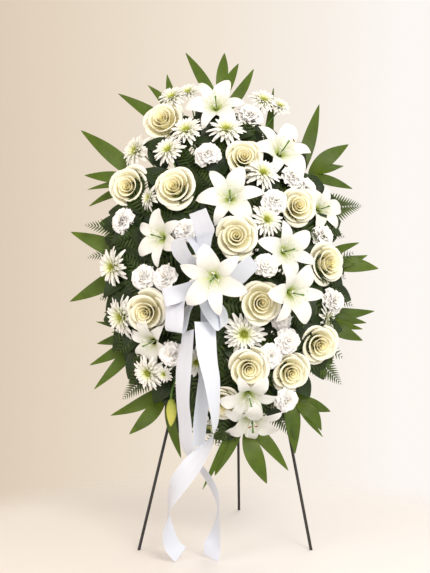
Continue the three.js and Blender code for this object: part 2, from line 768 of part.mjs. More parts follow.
const daisies = [
  [
    { column: 172, row: 97, width: 60 },
    { column: 188, row: 92, width: 51 },
    { column: 186, row: 130, width: 69 },
  ],
  [
    { column: 226, row: 129, width: 74 },
    { column: 263.5, row: 100, width: 58, lift: 8 },
    { column: 279.5, row: 106, width: 46 },
  ],
  [
    { column: 168, row: 150, width: 67 },
    { column: 135, row: 151, width: 69, faces: [-50, 20] },
    { column: 149, row: 198, width: 51, faces: [-60, 10] },
  ],
  [
    { column: 263, row: 172.7, width: 69, lift: -5 },
    { column: 266.7, row: 219.8, width: 69 },
  ],
  [
    { column: 112, row: 267, width: 76, faces: [-75, 0] },
    { column: 121, row: 317, width: 83, faces: [-75, -10] },
    { column: 148, row: 373, width: 69 },
    { column: 164, row: 374, width: 37 },
  ],
  [
    { column: 244, row: 334, width: 87, faces: [0, -5], lift: -38 },
    { column: 327, row: 319.6, width: 64, faces: [65, -5], lift: -24 },
  ],
  [
    { column: 196.5, row: 362, width: 60, faces: [0, -15], lift: -30 },
    { column: 208, row: 427, width: 60, faces: [-5, -45], lift: -36 },
  ],
];
daisies.forEach((places, i) => spray("daisy_spray_" + (i + 1), "daisy", daisyPetal, places));

// Each frond's rib, from the foam to its end, and its leaflets: where on the rib they start, where their
// tips are in the photograph, and their widths
const palms = [
  {
    rib: [[222, 170, 40], [220, 118, 40], [219, 96, 34]],
    leaflets: [
      { from: 1, tip: [224.5, 52.8], width: 35 },
      { from: 0.6, tip: [185.6, 52.8], width: 34 },
      { from: 0.75, tip: [238.6, 63], width: 30 },
      { from: 0.5, tip: [253.6, 69.3], width: 32 },
    ],
  },
  {
    rib: [[208, 170, 30], [176, 120, 16]],
    out: 16,
    leaflets: [
      { from: 1, tip: [167, 73.4], width: 28 },
      { from: 0.8, tip: [147.8, 85.3], width: 32 },
      { from: 0.5, tip: [118, 92.5], width: 46 },
      { from: 0.65, tip: [143, 102.5], width: 22 },
    ],
  },
  {
    rib: [[182, 208, 34], [140, 180, 34]],
    leaflets: [
      { from: 0.9, tip: [81, 130.6], width: 46 },
      { from: 1, tip: [84.9, 175.8], width: 34 },
      { from: 0.8, tip: [88.7, 205.6], width: 26 },
    ],
  },
  {
    rib: [[172, 262, 34], [135, 262, 30]],
    leaflets: [
      { from: 0.8, tip: [70.8, 232], width: 50 },
      { from: 1, tip: [69.6, 301], width: 48 },
      { from: 0.6, tip: [101.5, 219.8], width: 26 },
    ],
  },
  {
    rib: [[174, 312, 34], [138, 335, 30]],
    leaflets: [
      { from: 0.7, tip: [96.4, 322], width: 26 },
      { from: 1, tip: [97, 343.5], width: 32 },
      { from: 0.92, tip: [89.6, 365], width: 34 },
      { from: 0.75, tip: [94.2, 389], width: 36 },
    ],
  },
  {
    rib: [[190, 352, 36], [166, 395, 36]],
    leaflets: [
      { from: 0.75, tip: [110, 415], width: 40 },
      { from: 1, tip: [129, 434], width: 40 },
      { from: 0.9, tip: [181, 458], width: 34 },
    ],
  },
  {
    rib: [[228, 372, 42], [245, 430, 42]],
    leaflets: [
      { from: 0.85, tip: [214.8, 475.5], width: 42 },
      { from: 0.7, tip: [202.6, 489.5], width: 20 },
      { from: 1, tip: [266.6, 483.5], width: 50 },
      { from: 0.8, tip: [288.4, 470.5], width: 36 },
    ],
  },
  {
    rib: [[264, 352, 40], [298, 402, 36]],
    leaflets: [
      { from: 0.75, tip: [295, 453.7], width: 46 },
      { from: 1, tip: [322, 430.5], width: 38 },
      { from: 0.92, tip: [331.3, 411], width: 34 },
    ],
  },
  {
    rib: [[275, 300, 34], [322, 318, 30]],
    leaflets: [
      { from: 1, tip: [362.4, 340.7], width: 40 },
      { from: 0.85, tip: [366.6, 322.4], width: 30 },
      { from: 0.7, tip: [374.8, 310.5], width: 36 },
    ],
  },
  {
    rib: [[275, 258, 34], [330, 266, 30]],
    leaflets: [
      { from: 1, tip: [378.5, 268.4], width: 42 },
      { from: 0.9, tip: [368, 254.4], width: 36 },
      { from: 0.75, tip: [359.3, 242.4], width: 26 },
    ],
  },
  {
    rib: [[262, 205, 34], [312, 172, 30]],
    leaflets: [
      { from: 0.9, tip: [352.8, 187.7], width: 30 },
      { from: 1, tip: [343.6, 166.3], width: 34 },
      { from: 0.93, tip: [348.4, 144.6], width: 46 },
      { from: 0.7, tip: [319, 105], width: 40 },
      { from: 0.1, tip: [273.8, 86.2], width: 30 },
    ],
  },
];
palms.forEach((frond, i) => palmFrond("palm_frond_" + String(i + 1).padStart(2, "0"), { out: 30, ...frond }));

const ferns = [
  { from: [150, 235], to: [83.6, 225], out: 60, tipOut: 70, width: 70 },
  { from: [150, 248], to: [86, 258], out: 75, tipOut: 60, width: 60 },
  { from: [305, 205], to: [364, 208], out: 60, tipOut: 60, width: 70 },
  { from: [300, 345], to: [342, 385], out: 60, tipOut: 60, width: 70 },
  { from: [165, 360], to: [122, 400], out: 60, tipOut: 55, width: 70 },
  { from: [262, 395], to: [296, 440], out: 30, tipOut: 40, width: 60 },
];
ferns.forEach((fern, i) => addFern("fern_frond_" + (i + 1), fern));

addRibbon();
addEasel();
addHolder();

const bounds = new THREE.Box3().setFromObject(part);
const middle = bounds.getCenter(new THREE.Vector3());
for (const mesh of part.children) mesh.geometry.translate(-middle.x, -middle.y, 0);

export default part;
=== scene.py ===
import json
import math
from functools import partial

import bpy
import numpy as np
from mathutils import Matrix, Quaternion, Vector


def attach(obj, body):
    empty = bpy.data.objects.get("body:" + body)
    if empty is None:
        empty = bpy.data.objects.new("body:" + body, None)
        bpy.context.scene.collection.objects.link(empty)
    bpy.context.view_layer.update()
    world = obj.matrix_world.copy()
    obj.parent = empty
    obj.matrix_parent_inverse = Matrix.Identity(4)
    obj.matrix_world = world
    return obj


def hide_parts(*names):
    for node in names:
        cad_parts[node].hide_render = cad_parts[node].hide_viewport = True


# Standing funeral spray: white roses, lilies, carnations and mums with palm leaf, leatherleaf
# fern and a satin bow, on a black wire easel. Metres, +Z up, the blooms face -Y.
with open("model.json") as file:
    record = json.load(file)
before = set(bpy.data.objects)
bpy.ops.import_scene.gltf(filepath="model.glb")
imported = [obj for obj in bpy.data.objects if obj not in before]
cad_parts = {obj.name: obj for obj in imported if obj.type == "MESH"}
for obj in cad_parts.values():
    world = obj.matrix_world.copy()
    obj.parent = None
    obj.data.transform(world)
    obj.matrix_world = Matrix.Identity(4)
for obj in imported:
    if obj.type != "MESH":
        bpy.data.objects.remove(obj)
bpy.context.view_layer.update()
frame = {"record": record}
scene = bpy.context.scene

# Places are worked out with the line of the front feet at y = 0, and shift takes them to the frame
footLeft = next(m["pos_m"] for m in frame["record"]["mounts"] if m["name"] == "foot_left")
easel = {
    "wire": 0.0035,
    "footHalfSpan": 0.198,
    "leanRun": 0.231,  # how far the front frame leans back for each unit of height
    "leftRun": 0.235,
    "rightRun": 0.18,
    "top": 0.873,
    "hingeHeight": 0.861,
    "hingeX": 0.029,
    "rearFoot": (0.042, 0.451, 0.0),
    "lowerBar": 0.480,
    "bend": 0.012,
    "crownRise": 0.014,
    "crownHalf": 0.014,
    "crownGap": 0.0003,
    "sides": 20,
}
shift = np.array([footLeft[0] + easel["footHalfSpan"], footLeft[1], 0.0])

# The photograph's sight lines, and the dome that the blooms stand on
sightLines = {"pixel": 0.0023, "distance": 2.520, "height": 0.606, "x": -0.023, "column": 215, "row": 286.5}
dome = {"halfWidth": 0.310, "halfHeight": 0.440, "bulge": 0.185, "base": 0.062, "height": 0.655}
foam = {"halfWidth": 0.060, "low": 0.447, "high": 0.867, "back": 0.009, "front": 0.089, "rim": 0.031}
stems = {"spine": 0.034, "fan": 18.0, "depth": 0.030, "elbow": 0.008, "strap": 0.095, "strapHalf": 0.005,
         "strapClear": 0.0045, "clear": 0.004, "neck": 0.012, "step": 0.001}
lean = math.atan(easel["leanRun"])
upFrame = np.array([0, math.sin(lean), math.cos(lean)])
outFrame = np.array([0, -math.cos(lean), math.sin(lean)])


def unit(v):
    v = np.asarray(v, float)
    return v / np.linalg.norm(v)


def lerp(a, b, share):
    return a + (b - a) * share


def sight(column, row, y):
    scale = sightLines["pixel"] * (1 + y / sightLines["distance"])
    across = (column - sightLines["column"]) * scale + sightLines["x"]
    return np.array([across, y, sightLines["height"] - (row - sightLines["row"]) * scale])


def domeDepth(x, z):
    rise = 1 - (x / dome["halfWidth"]) ** 2 - ((z - dome["height"]) / dome["halfHeight"]) ** 2
    return easel["leanRun"] * z - dome["base"] - dome["bulge"] * max(0.0, rise)


def meet(column, row, depthAt):  # halves the error each time
    y = 0.0
    for _ in range(30):
        y += (depthAt(sight(column, row, y)) - y) / 2
    return y


def onDome(column, row, lift=0.0):
    return sight(column, row, meet(column, row, lambda p: domeDepth(p[0], p[2])) - lift)


def onFrame(column, row, out):
    depth = out / 1000 / math.cos(lean)
    return sight(column, row, meet(column, row, lambda p: easel["leanRun"] * p[2] - depth))


def framePoint(x, along, out):
    return np.array([x, 0, 0]) + along * upFrame + out * outFrame


def domeNormal(point):
    return unit([
        2 * dome["bulge"] * point[0] / dome["halfWidth"] ** 2,
        -1,
        easel["leanRun"] + 2 * dome["bulge"] * (point[2] - dome["height"]) / dome["halfHeight"] ** 2,
    ])


def smoothPath(points, count):
    points = np.asarray(points, float)
    ends = np.vstack([2 * points[0] - points[1], points, 2 * points[-1] - points[-2]])
    place = np.linspace(0, len(points) - 1, count)
    span = np.minimum(place.astype(int), len(points) - 2)
    t = (place - span)[:, None]
    a, b, c, d = (ends[span + i] for i in range(4))
    return 0.5 * (2 * b + (c - a) * t + (2 * a - 5 * b + 4 * c - d) * t**2 + (3 * b - a - 3 * c + d) * t**3)


def bent(controls, share):  # a cubic curve through a petal's side view, as radius and height
    share = np.asarray(share)[..., None]
    a, b, c, d = (np.asarray(p, float) for p in controls)
    rest = 1 - share
    return rest**3 * a + 3 * rest**2 * share * b + 3 * rest * share**2 * c + share**3 * d


# Meshes are worked out as parts: points, faces, a place across and along for each point, and a tone
def shell(grid, thick, material=0, tone=0.5):
    rows, columns = grid.shape[:2]
    normal = np.cross(np.gradient(grid, axis=1), np.gradient(grid, axis=0))
    normal /= np.linalg.norm(normal, axis=2, keepdims=True) + 1e-12
    front = np.arange(rows * columns).reshape(rows, columns)
    back = front.copy()
    back[1:-1, 1:-1] = rows * columns + np.arange((rows - 2) * (columns - 2)).reshape(rows - 2, columns - 2)
    inner = (grid - normal * thick)[1:-1, 1:-1].reshape(-1, 3)
    v, u = np.meshgrid(np.linspace(0, 1, rows), np.linspace(0, 1, columns), indexing="ij")
    uv = np.stack([u, v], axis=2)
    corners = [[s[:-1, :-1], s[:-1, 1:], s[1:, 1:], s[1:, :-1]] for s in (front, back)]
    faces = [np.stack(c, axis=2).reshape(-1, 4) for c in corners]
    return {
        "points": np.vstack([grid.reshape(-1, 3), inner]),
        "quads": np.vstack([faces[0], faces[1][:, ::-1]]),
        "tris": np.zeros((0, 3), int),
        "uv": np.vstack([uv.reshape(-1, 2), uv[1:-1, 1:-1].reshape(-1, 2)]),
        "tone": tone,
        "material": material,
    }


def tube(path, radius, sides=8, material=0, tone=0.5):
    path = np.asarray(path, float)
    count = len(path)
    radii = np.broadcast_to(radius, count)
    ahead = np.gradient(path, axis=0)
    ahead /= np.linalg.norm(ahead, axis=1, keepdims=True)
    side = unit(np.cross(ahead[0], [0.31, 0.17, 0.93] if abs(ahead[0][2]) < 0.9 else [1, 0.2, 0]))
    turns = 2 * math.pi * np.arange(sides) / sides
    rings = []
    for point, way, reach in zip(path, ahead, radii):
        side = unit(side - way * np.dot(side, way))
        other = np.cross(way, side)
        rings.append(point + reach * (np.outer(np.cos(turns), side) + np.outer(np.sin(turns), other)))
    index = np.arange(count * sides).reshape(count, sides)
    after = np.roll(index, -1, axis=1)
    first, last = count * sides, count * sides + 1
    uv = np.array([[k / sides, i / (count - 1)] for i in range(count) for k in range(sides)])
    return {
        "points": np.vstack([*rings, path[0], path[-1]]),
        "quads": np.stack([index[:-1], after[:-1], after[1:], index[1:]], axis=2).reshape(-1, 4),
        "tris": np.vstack([
            np.stack([np.full(sides, first), after[0], index[0]], axis=1),
            np.stack([np.full(sides, last), index[-1], after[-1]], axis=1),
        ]),
        "uv": np.vstack([uv, [0.5, 0], [0.5, 1]]),
        "tone": tone,
        "material": material,
    }


def placed(part, turn, point, size=1.0):
    return {**part, "points": part["points"] * size @ np.asarray(turn, float).T + point}


def meshFrom(name, parts, offset=(0, 0, 0)):
    starts = np.cumsum([0] + [len(p["points"]) for p in parts])
    faces, kinds = [], []
    for part, start in zip(parts, starts):
        for key in ("quads", "tris"):
            faces += (part[key] + start).tolist()
            kinds += [part["material"]] * len(part[key])
    mesh = bpy.data.meshes.new(name)
    mesh.from_pydata(np.vstack([p["points"] for p in parts]) + offset, [], faces)
    mesh.polygons.foreach_set("material_index", kinds)
    corners = np.zeros(len(mesh.loops), int)
    mesh.loops.foreach_get("vertex_index", corners)
    uv = np.vstack([p["uv"] for p in parts])
    mesh.uv_layers.new(name="UVMap").data.foreach_set("uv", uv[corners].ravel())
    tone = np.concatenate([np.broadcast_to(p["tone"], len(p["points"])) for p in parts])
    mesh.attributes.new("tone", "FLOAT", "POINT").data.foreach_set("value", tone)
    mesh.shade_smooth()
    mesh.set_sharp_from_angle(angle=math.radians(70))
    return mesh


def partFrom(mesh, material=0, tone=0.5):
    points = np.zeros(len(mesh.vertices) * 3)
    mesh.vertices.foreach_get("co", points)
    corners = np.zeros(len(mesh.loops), int)
    mesh.loops.foreach_get("vertex_index", corners)
    uv = np.zeros((len(mesh.vertices), 2))
    flat = np.zeros(len(mesh.loops) * 2)
    mesh.uv_layers[0].data.foreach_get("uv", flat)
    uv[corners] = flat.reshape(-1, 2)
    sizes = np.zeros(len(mesh.polygons), int)
    mesh.polygons.foreach_get("loop_total", sizes)
    starts = np.concatenate([[0], np.cumsum(sizes)[:-1]])
    quads = corners[starts[sizes == 4][:, None] + np.arange(4)].reshape(-1, 4)
    tris = corners[starts[sizes == 3][:, None] + np.arange(3)].reshape(-1, 3)
    points = points.reshape(-1, 3)
    return {"points": points, "quads": quads, "tris": tris, "uv": uv, "tone": tone, "material": material}


def addObject(name, mesh, materials=()):
    thing = bpy.data.objects.new(name, mesh)
    scene.collection.objects.link(thing)
    for material in materials:
        mesh.materials.append(material)
    return thing


def addPiece(name, parts, materials, nodes=(), body="spray"):
    piece = addObject(name, meshFrom(name, parts, shift), materials)
    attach(piece, body)
    if nodes:
        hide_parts(*nodes)
    return piece


# Adds a node to a shader or geometry tree. Its kind may end in an operation or a data type, values go to
# its live inputs in order or by name, and a node given as a value stands for its own first live output
def addNode(tree, kind, *values, settings=None, **named):
    kind, _, choice = kind.partition(".")
    node = tree.nodes.new(kind)
    if choice:
        setattr(node, "operation" if hasattr(node, "operation") else "data_type", choice)
    for name, value in (settings or {}).items():
        setattr(node, name, value)
    live = [socket for socket in node.inputs if socket.enabled]
    byName = [(node.inputs[name.replace("_", " ")], value) for name, value in named.items()]
    for socket, value in [*zip(live, values), *byName]:
        if isinstance(value, bpy.types.Node):
            value = next(output for output in value.outputs if output.enabled)
        if isinstance(value, bpy.types.NodeSocket):
            tree.links.new(value, socket)
        else:
            socket.default_value = value
    return node


def linear(code):
    channels = [int(code[i:i + 2], 16) / 255 for i in (1, 3, 5)]
    return [c / 12.92 if c <= 0.04045 else ((c + 0.055) / 1.055) ** 2.4 for c in channels] + [1.0]


def setRamp(node, stops):
    ramp = node.color_ramp
    while len(ramp.elements) > 1:
        ramp.elements.remove(ramp.elements[-1])
    ramp.elements[0].position = stops[0][0]
    ramp.elements[0].color = linear(stops[0][1])
    for place, code in stops[1:]:
        ramp.elements.new(place).color = linear(code)
    return node


def newMaterial(name):
    material = bpy.data.materials.new(name)
    material.use_nodes = True
    material.node_tree.nodes.clear()
    node = partial(addNode, material.node_tree)
    return material, node, node("ShaderNodeTexCoord").outputs["Object"]


def endMaterial(material, **look):
    shader = addNode(material.node_tree, "ShaderNodeBsdfPrincipled", **look)
    addNode(material.node_tree, "ShaderNodeOutputMaterial", Surface=shader)
    return material


# A petal, leaf or stem: colour runs from base to rim, tone 0 is the heart of the bloom, fine veins run
# lengthwise, and light may soak a little into it
# On the fern and the broad filler leaf, the heart ramp is painted shade for the gaps between the blooms
def plantMaterial(name, look):
    material, node, place = newMaterial(name)
    apart = node("ShaderNodeSeparateXYZ", node("ShaderNodeUVMap", settings={"uv_map": "UVMap"}))
    across, along = apart.outputs["X"], apart.outputs["Y"]
    tone = node("ShaderNodeAttribute", settings={"attribute_name": "tone"}).outputs["Fac"]
    outer = setRamp(node("ShaderNodeValToRGB", along), look["outer"])
    heart = setRamp(node("ShaderNodeValToRGB", along), look["heart"])
    both = node("ShaderNodeMix.RGBA", tone, heart, outer)
    cloud = node("ShaderNodeTexNoise", place, Scale=1 / look["cloud"], Detail=3.0)
    shade = node("ShaderNodeMapRange", cloud, 0.3, 0.7, 1 - look["mottle"], 1.0)
    mottled = node("ShaderNodeMix.RGBA", 1.0, both, shade, settings={"blend_type": "MULTIPLY"})
    wavy = node("ShaderNodeMath.MULTIPLY_ADD", cloud, 0.12, across)
    comb = node("ShaderNodeMath.MULTIPLY", wavy, 2 * math.pi * look["veins"])
    grain = node("ShaderNodeMath.MULTIPLY_ADD", cloud, look["crinkle"], node("ShaderNodeMath.SINE", comb))
    bump = node("ShaderNodeBump", Height=grain, Strength=look["relief"], Distance=0.0003)
    return endMaterial(
        material, Base_Color=mottled, Normal=bump, Roughness=look["roughness"], Specular_IOR_Level=0.35,
        Subsurface_Weight=look["soak"], Subsurface_Radius=(1.0, 0.85, 0.6),
        Subsurface_Scale=look.get("depth", 0.005), Sheen_Weight=look.get("fuzz", 0.0), Sheen_Roughness=0.5,
    )


# Ivory garden rose petal, velvety: the matt face keeps highlights wide and the heart reads butter yellow
rosePetal = plantMaterial("roseVelvetPetal", {
    "outer": [(0.0, "#f0efc0"), (0.35, "#faf5d4"), (0.75, "#fdfae4"), (1.0, "#fefcee")],
    "heart": [(0.0, "#f6efa4"), (0.45, "#fcf2a8"), (0.8, "#fdf4b8"), (1.0, "#fef7cc")],
    "cloud": 0.012, "mottle": 0.03, "veins": 16, "crinkle": 1.2, "relief": 0.12,
    "roughness": 0.6, "soak": 0.1, "depth": 0.003, "fuzz": 0.3,
})
# White oriental lily tepal, waxy: green throat, fine ribs lengthwise, a soft sheen along the folds
lilyPetal = plantMaterial("lilyWaxTepal", {
    "outer": [(0.0, "#a8bd4c"), (0.14, "#c6d288"), (0.3, "#e6e8da"), (0.55, "#edeeea"), (1.0, "#eff0ed")],
    "heart": [(0.0, "#a9c14a"), (0.26, "#ccd994"), (0.46, "#e8ebdc"), (1.0, "#edeeea")],
    "cloud": 0.02, "mottle": 0.035, "veins": 9, "crinkle": 0.6, "relief": 0.35,
    "roughness": 0.45, "soak": 0.1,
})
# White spray carnation petal, crisp and matt: the cut rim catches the light
carnationPetal = plantMaterial("carnationCrispPetal", {
    "outer": [(0.0, "#f4f5ea"), (0.4, "#fdfcfa"), (1.0, "#ffffff")],
    "heart": [(0.0, "#eef0dc"), (0.5, "#fcfbf5"), (1.0, "#fffefb")],
    "cloud": 0.006, "mottle": 0.03, "veins": 12, "crinkle": 1.0, "relief": 0.15,
    "roughness": 0.6, "soak": 0.0, "fuzz": 0.4,
})
# White mum floret: narrow, lightly channelled, greening towards the eye
mumPetal = plantMaterial("mumRayFloret", {
    "outer": [(0.0, "#d9e29a"), (0.2, "#f3f5da"), (0.4, "#fafaf3"), (1.0, "#fcfcf8")],
    "heart": [(0.0, "#c3d263"), (0.4, "#e3eaa8"), (1.0, "#f5f7de")],
    "cloud": 0.006, "mottle": 0.03, "veins": 3, "crinkle": 0.8, "relief": 0.2, "roughness": 0.55, "soak": 0.1,
})
# Mum eye: packed disc florets, yellow-green and matt
mumEye = plantMaterial("mumDiscFloret", {
    "outer": [(0.0, "#9fb23c"), (0.6, "#c3cc55"), (1.0, "#dcdc6a")],
    "heart": [(0.0, "#8ba336"), (0.6, "#b4c44c"), (1.0, "#cdd35c")],
    "cloud": 0.002, "mottle": 0.2, "veins": 2, "crinkle": 2.0, "relief": 0.5, "roughness": 0.7, "soak": 0.1,
})
# Closed lily bud: waxy yellow-green, faintly ridged
budSkin = plantMaterial("lilyBudSkin", {
    "outer": [(0.0, "#a8b84c"), (0.4, "#cdd062"), (0.8, "#dfdb74"), (1.0, "#c3c957")],
    "heart": [(0.0, "#a8b84c"), (1.0, "#d8d868")],
    "cloud": 0.008, "mottle": 0.08, "veins": 6, "crinkle": 0.6, "relief": 0.3, "roughness": 0.4, "soak": 0.15,
})
# Fresh florist's stem: smooth, mid green, faintly ridged
freshStem = plantMaterial("freshGreenStem", {
    "outer": [(0.0, "#4d6f2a"), (0.6, "#5c8234"), (1.0, "#6d9440")],
    "heart": [(0.0, "#45652a"), (1.0, "#5f8738")],
    "cloud": 0.01, "mottle": 0.2, "veins": 6, "crinkle": 0.5, "relief": 0.3, "roughness": 0.5, "soak": 0.0,
})
# Lily anther: rust-brown pollen, dead matt
lilyPollen = plantMaterial("lilyAntherPollen", {
    "outer": [(0.0, "#8a4a1c"), (1.0, "#b9732a")],
    "heart": [(0.0, "#8a4a1c"), (1.0, "#b9732a")],
    "cloud": 0.001, "mottle": 0.3, "veins": 2, "crinkle": 3.0, "relief": 0.6, "roughness": 0.9, "soak": 0.0,
})
# Palm leaflet: glossy cuticle over parallel veins, so long streaks of light run down it
palmSkin = plantMaterial("palmGlossLeaf", {
    "outer": [(0.0, "#7a8f26"), (0.3, "#5c7416"), (0.8, "#526a10"), (1.0, "#6c8422")],
    "heart": [(0.0, "#5c721c"), (0.5, "#445c0e"), (1.0, "#4f6614")],
    "cloud": 0.03, "mottle": 0.25, "veins": 14, "crinkle": 0.3, "relief": 0.6, "roughness": 0.34, "soak": 0.0,
})
# Leatherleaf fern: stiff, dark and half gloss. Its darker heart ramp is painted shade: the fronds between the
# blooms take in half of it, the rim fronds little
fernSkin = plantMaterial("leatherleafFrond", {
    "outer": [(0.0, "#3a4f12"), (0.6, "#4a611a"), (1.0, "#5e7624")],
    "heart": [(0.0, "#26370c"), (1.0, "#354a12")],
    "cloud": 0.02, "mottle": 0.35, "veins": 4, "crinkle": 0.8, "relief": 0.4, "roughness": 0.42, "soak": 0.0,
})
# Broad filler leaf: leathery and deep green, the darkest thing between the blooms. Its darker heart ramp is
# painted shade, taken in half where the leaves fill the gaps
broadSkin = plantMaterial("broadFillerLeaf", {
    "outer": [(0.0, "#263c10"), (0.5, "#21350e"), (1.0, "#2e4514")],
    "heart": [(0.0, "#1a2b0a"), (1.0, "#23370f")],
    "cloud": 0.03, "mottle": 0.4, "veins": 7, "crinkle": 0.6, "relief": 0.5, "roughness": 0.5, "soak": 0.0,
})


# Black enamelled steel wire: a smooth dip coat with slight orange peel, highlights thin and long
def wireEnamel():
    material, node, place = newMaterial("blackEnamelWire")
    peel = node("ShaderNodeTexNoise", place, Scale=1 / 0.0015, Detail=2.0)
    wear = node("ShaderNodeTexNoise", place, Scale=1 / 0.03, Detail=4.0)
    colour = setRamp(node("ShaderNodeValToRGB", wear), [(0.35, "#171412"), (0.65, "#221e1b")])
    gloss = node("ShaderNodeMapRange", wear, 0.3, 0.7, 0.28, 0.5)
    bump = node("ShaderNodeBump", Height=peel, Strength=0.15, Distance=0.0001)
    return endMaterial(material, Base_Color=colour, Roughness=gloss, Normal=bump)


# Wet phenolic floral foam: fine open cells, drawn at 1.2 mm, coarser than real, and darker where it is soaked
def wetFoam():
    material, node, place = newMaterial("wetFloralFoam")
    cells = node("ShaderNodeTexVoronoi", place, Scale=1 / 0.0012)
    soak = node("ShaderNodeTexNoise", place, Scale=1 / 0.05, Detail=3.0)
    colour = setRamp(node("ShaderNodeValToRGB", soak), [(0.35, "#1f4525"), (0.65, "#37663b")])
    bump = node("ShaderNodeBump", Height=cells, Strength=0.6, Distance=0.0004)
    return endMaterial(material, Base_Color=colour, Normal=bump, Roughness=0.85)


# Injection-moulded polyethylene tray: even dark green with a fine spark-eroded grain
def mouldedTray():
    material, node, place = newMaterial("mouldedGreenTray")
    grain = node("ShaderNodeTexNoise", place, Scale=1 / 0.0008, Detail=3.0)
    flow = node("ShaderNodeTexNoise", place, Scale=1 / 0.08, Detail=2.0)
    colour = setRamp(node("ShaderNodeValToRGB", flow), [(0.3, "#1c4424"), (0.7, "#26552f")])
    bump = node("ShaderNodeBump", Height=grain, Strength=0.25, Distance=0.0002)
    return endMaterial(material, Base_Color=colour, Normal=bump, Roughness=0.45)


# Double-faced satin ribbon: floats run lengthwise, so the shine is drawn out across the ribbon, and
# a selvedge about a millimetre wide runs down each side. The weave is drawn at 0.5 mm, coarser than real
def ribbonSatin():
    material, node, place = newMaterial("whiteSatinRibbon")
    apart = node("ShaderNodeSeparateXYZ", node("ShaderNodeUVMap", settings={"uv_map": "UVMap"}))
    across = apart.outputs["X"]
    away = node("ShaderNodeMath.ABSOLUTE", node("ShaderNodeMath.SUBTRACT", across, 0.5))
    edge = node("ShaderNodeMapRange", away, 0.475, 0.485)
    ridge = node("ShaderNodeMath.SINE", node("ShaderNodeMath.MULTIPLY", across, 2 * math.pi * 100))
    cloud = node("ShaderNodeTexNoise", place, Scale=1 / 0.02, Detail=2.0)
    colour = node("ShaderNodeMix.RGBA", edge, linear("#dbe1ed"), linear("#e5e9f3"))
    height = node("ShaderNodeMath.MULTIPLY_ADD", cloud, 1.5, ridge)
    raised = node("ShaderNodeMath.MULTIPLY_ADD", edge, 3.0, height)
    bump = node("ShaderNodeBump", Height=raised, Strength=0.18, Distance=0.0002)
    return endMaterial(material, Base_Color=colour, Normal=bump, Roughness=0.36, Anisotropic=0.5,
                       Sheen_Weight=0.25, Sheen_Roughness=0.4, Specular_IOR_Level=0.6)


wireMaterial, foamMaterial = wireEnamel(), wetFoam()
trayMaterial, satinMaterial = mouldedTray(), ribbonSatin()
print("materials ready")


# Geometry Nodes. A tree is given its named inputs first, and runs on a holder that is taken away
def newTree(name, sockets):
    tree = bpy.data.node_groups.new(name, "GeometryNodeTree")
    tree.interface.new_socket("Geometry", in_out="INPUT", socket_type="NodeSocketGeometry")
    for label, kind in sockets.items():
        tree.interface.new_socket(label, in_out="INPUT", socket_type="NodeSocket" + kind)
    tree.interface.new_socket("Geometry", in_out="OUTPUT", socket_type="NodeSocketGeometry")
    node = partial(addNode, tree)
    return tree, node, node("NodeGroupInput").outputs


def endTree(tree, geometry, material):
    real = addNode(tree, "GeometryNodeRealizeInstances", geometry)
    painted = addNode(tree, "GeometryNodeSetMaterial", Geometry=real, Material=material)
    addNode(tree, "NodeGroupOutput", painted)
    return tree


def runTree(tree, name, values, base=None):
    holder = addObject(name + "Holder", base or bpy.data.meshes.new(name))
    modifier = holder.modifiers.new(name, "NODES")
    modifier.node_group = tree
    for item in tree.interface.items_tree:
        if item.in_out == "INPUT" and item.name in values:
            modifier[item.identifier] = values[item.name]
    mesh = bpy.data.meshes.new_from_object(holder.evaluated_get(bpy.context.evaluated_depsgraph_get()))
    holder.modifiers.clear()
    bpy.data.objects.remove(holder)
    return mesh


# Petals set one after another round a centre, each a fixed turn on from the last
def whorlTree():
    tree, node, given = newTree("petalWhorl", {
        "Petal": "Object", "Count": "Int", "Turn": "Float", "Inner Radius": "Float", "Outer Radius": "Float",
        "Inner Height": "Float", "Outer Height": "Float", "Inner Tilt": "Float", "Outer Tilt": "Float",
        "Inner Size": "Float", "Outer Size": "Float", "Jitter": "Float", "Seed": "Int",
        "Material": "Material",
    })
    index = node("GeometryNodeInputIndex")
    share = node("ShaderNodeMath.DIVIDE", index, node("ShaderNodeMath.SUBTRACT", given["Count"], 1.0))

    def between(what):
        inner, outer = given["Inner " + what], given["Outer " + what]
        return node("ShaderNodeMapRange", share, To_Min=inner, To_Max=outer)

    def jitter(size, offset):
        seed = node("ShaderNodeMath.ADD", given["Seed"], offset)
        loose = node("FunctionNodeRandomValue.FLOAT", -size, size, Seed=seed)
        return node("ShaderNodeMath.MULTIPLY", loose, given["Jitter"])

    even = node("ShaderNodeMath.MULTIPLY", index, given["Turn"])
    turn = node("ShaderNodeMath.RADIANS", node("ShaderNodeMath.ADD", even, jitter(60.0, 3.0)))
    radius = between("Radius")
    right = node("ShaderNodeMath.MULTIPLY", radius, node("ShaderNodeMath.COSINE", turn))
    ahead = node("ShaderNodeMath.MULTIPLY", radius, node("ShaderNodeMath.SINE", turn))
    place = node("ShaderNodeCombineXYZ", right, ahead, between("Height"))
    points = node("GeometryNodePoints", Count=given["Count"], Position=place)
    tilt = node("ShaderNodeMath.RADIANS", node("ShaderNodeMath.ADD", between("Tilt"), jitter(90.0, 5.0)))
    roll = node("ShaderNodeMath.RADIANS", jitter(160.0, 7.0))
    euler = node("ShaderNodeCombineXYZ", roll, node("ShaderNodeMath.MULTIPLY", tilt, -1.0), turn)
    grown = node("ShaderNodeMath.ADD", jitter(0.9, 9.0), 1.0)
    size = node("ShaderNodeMath.MULTIPLY", between("Size"), grown)
    petal = node("GeometryNodeObjectInfo", given["Petal"]).outputs["Geometry"]
    rows = node("GeometryNodeInstanceOnPoints", Points=points, Instance=petal, Rotation=euler, Scale=size)
    return endTree(tree, rows, given["Material"])


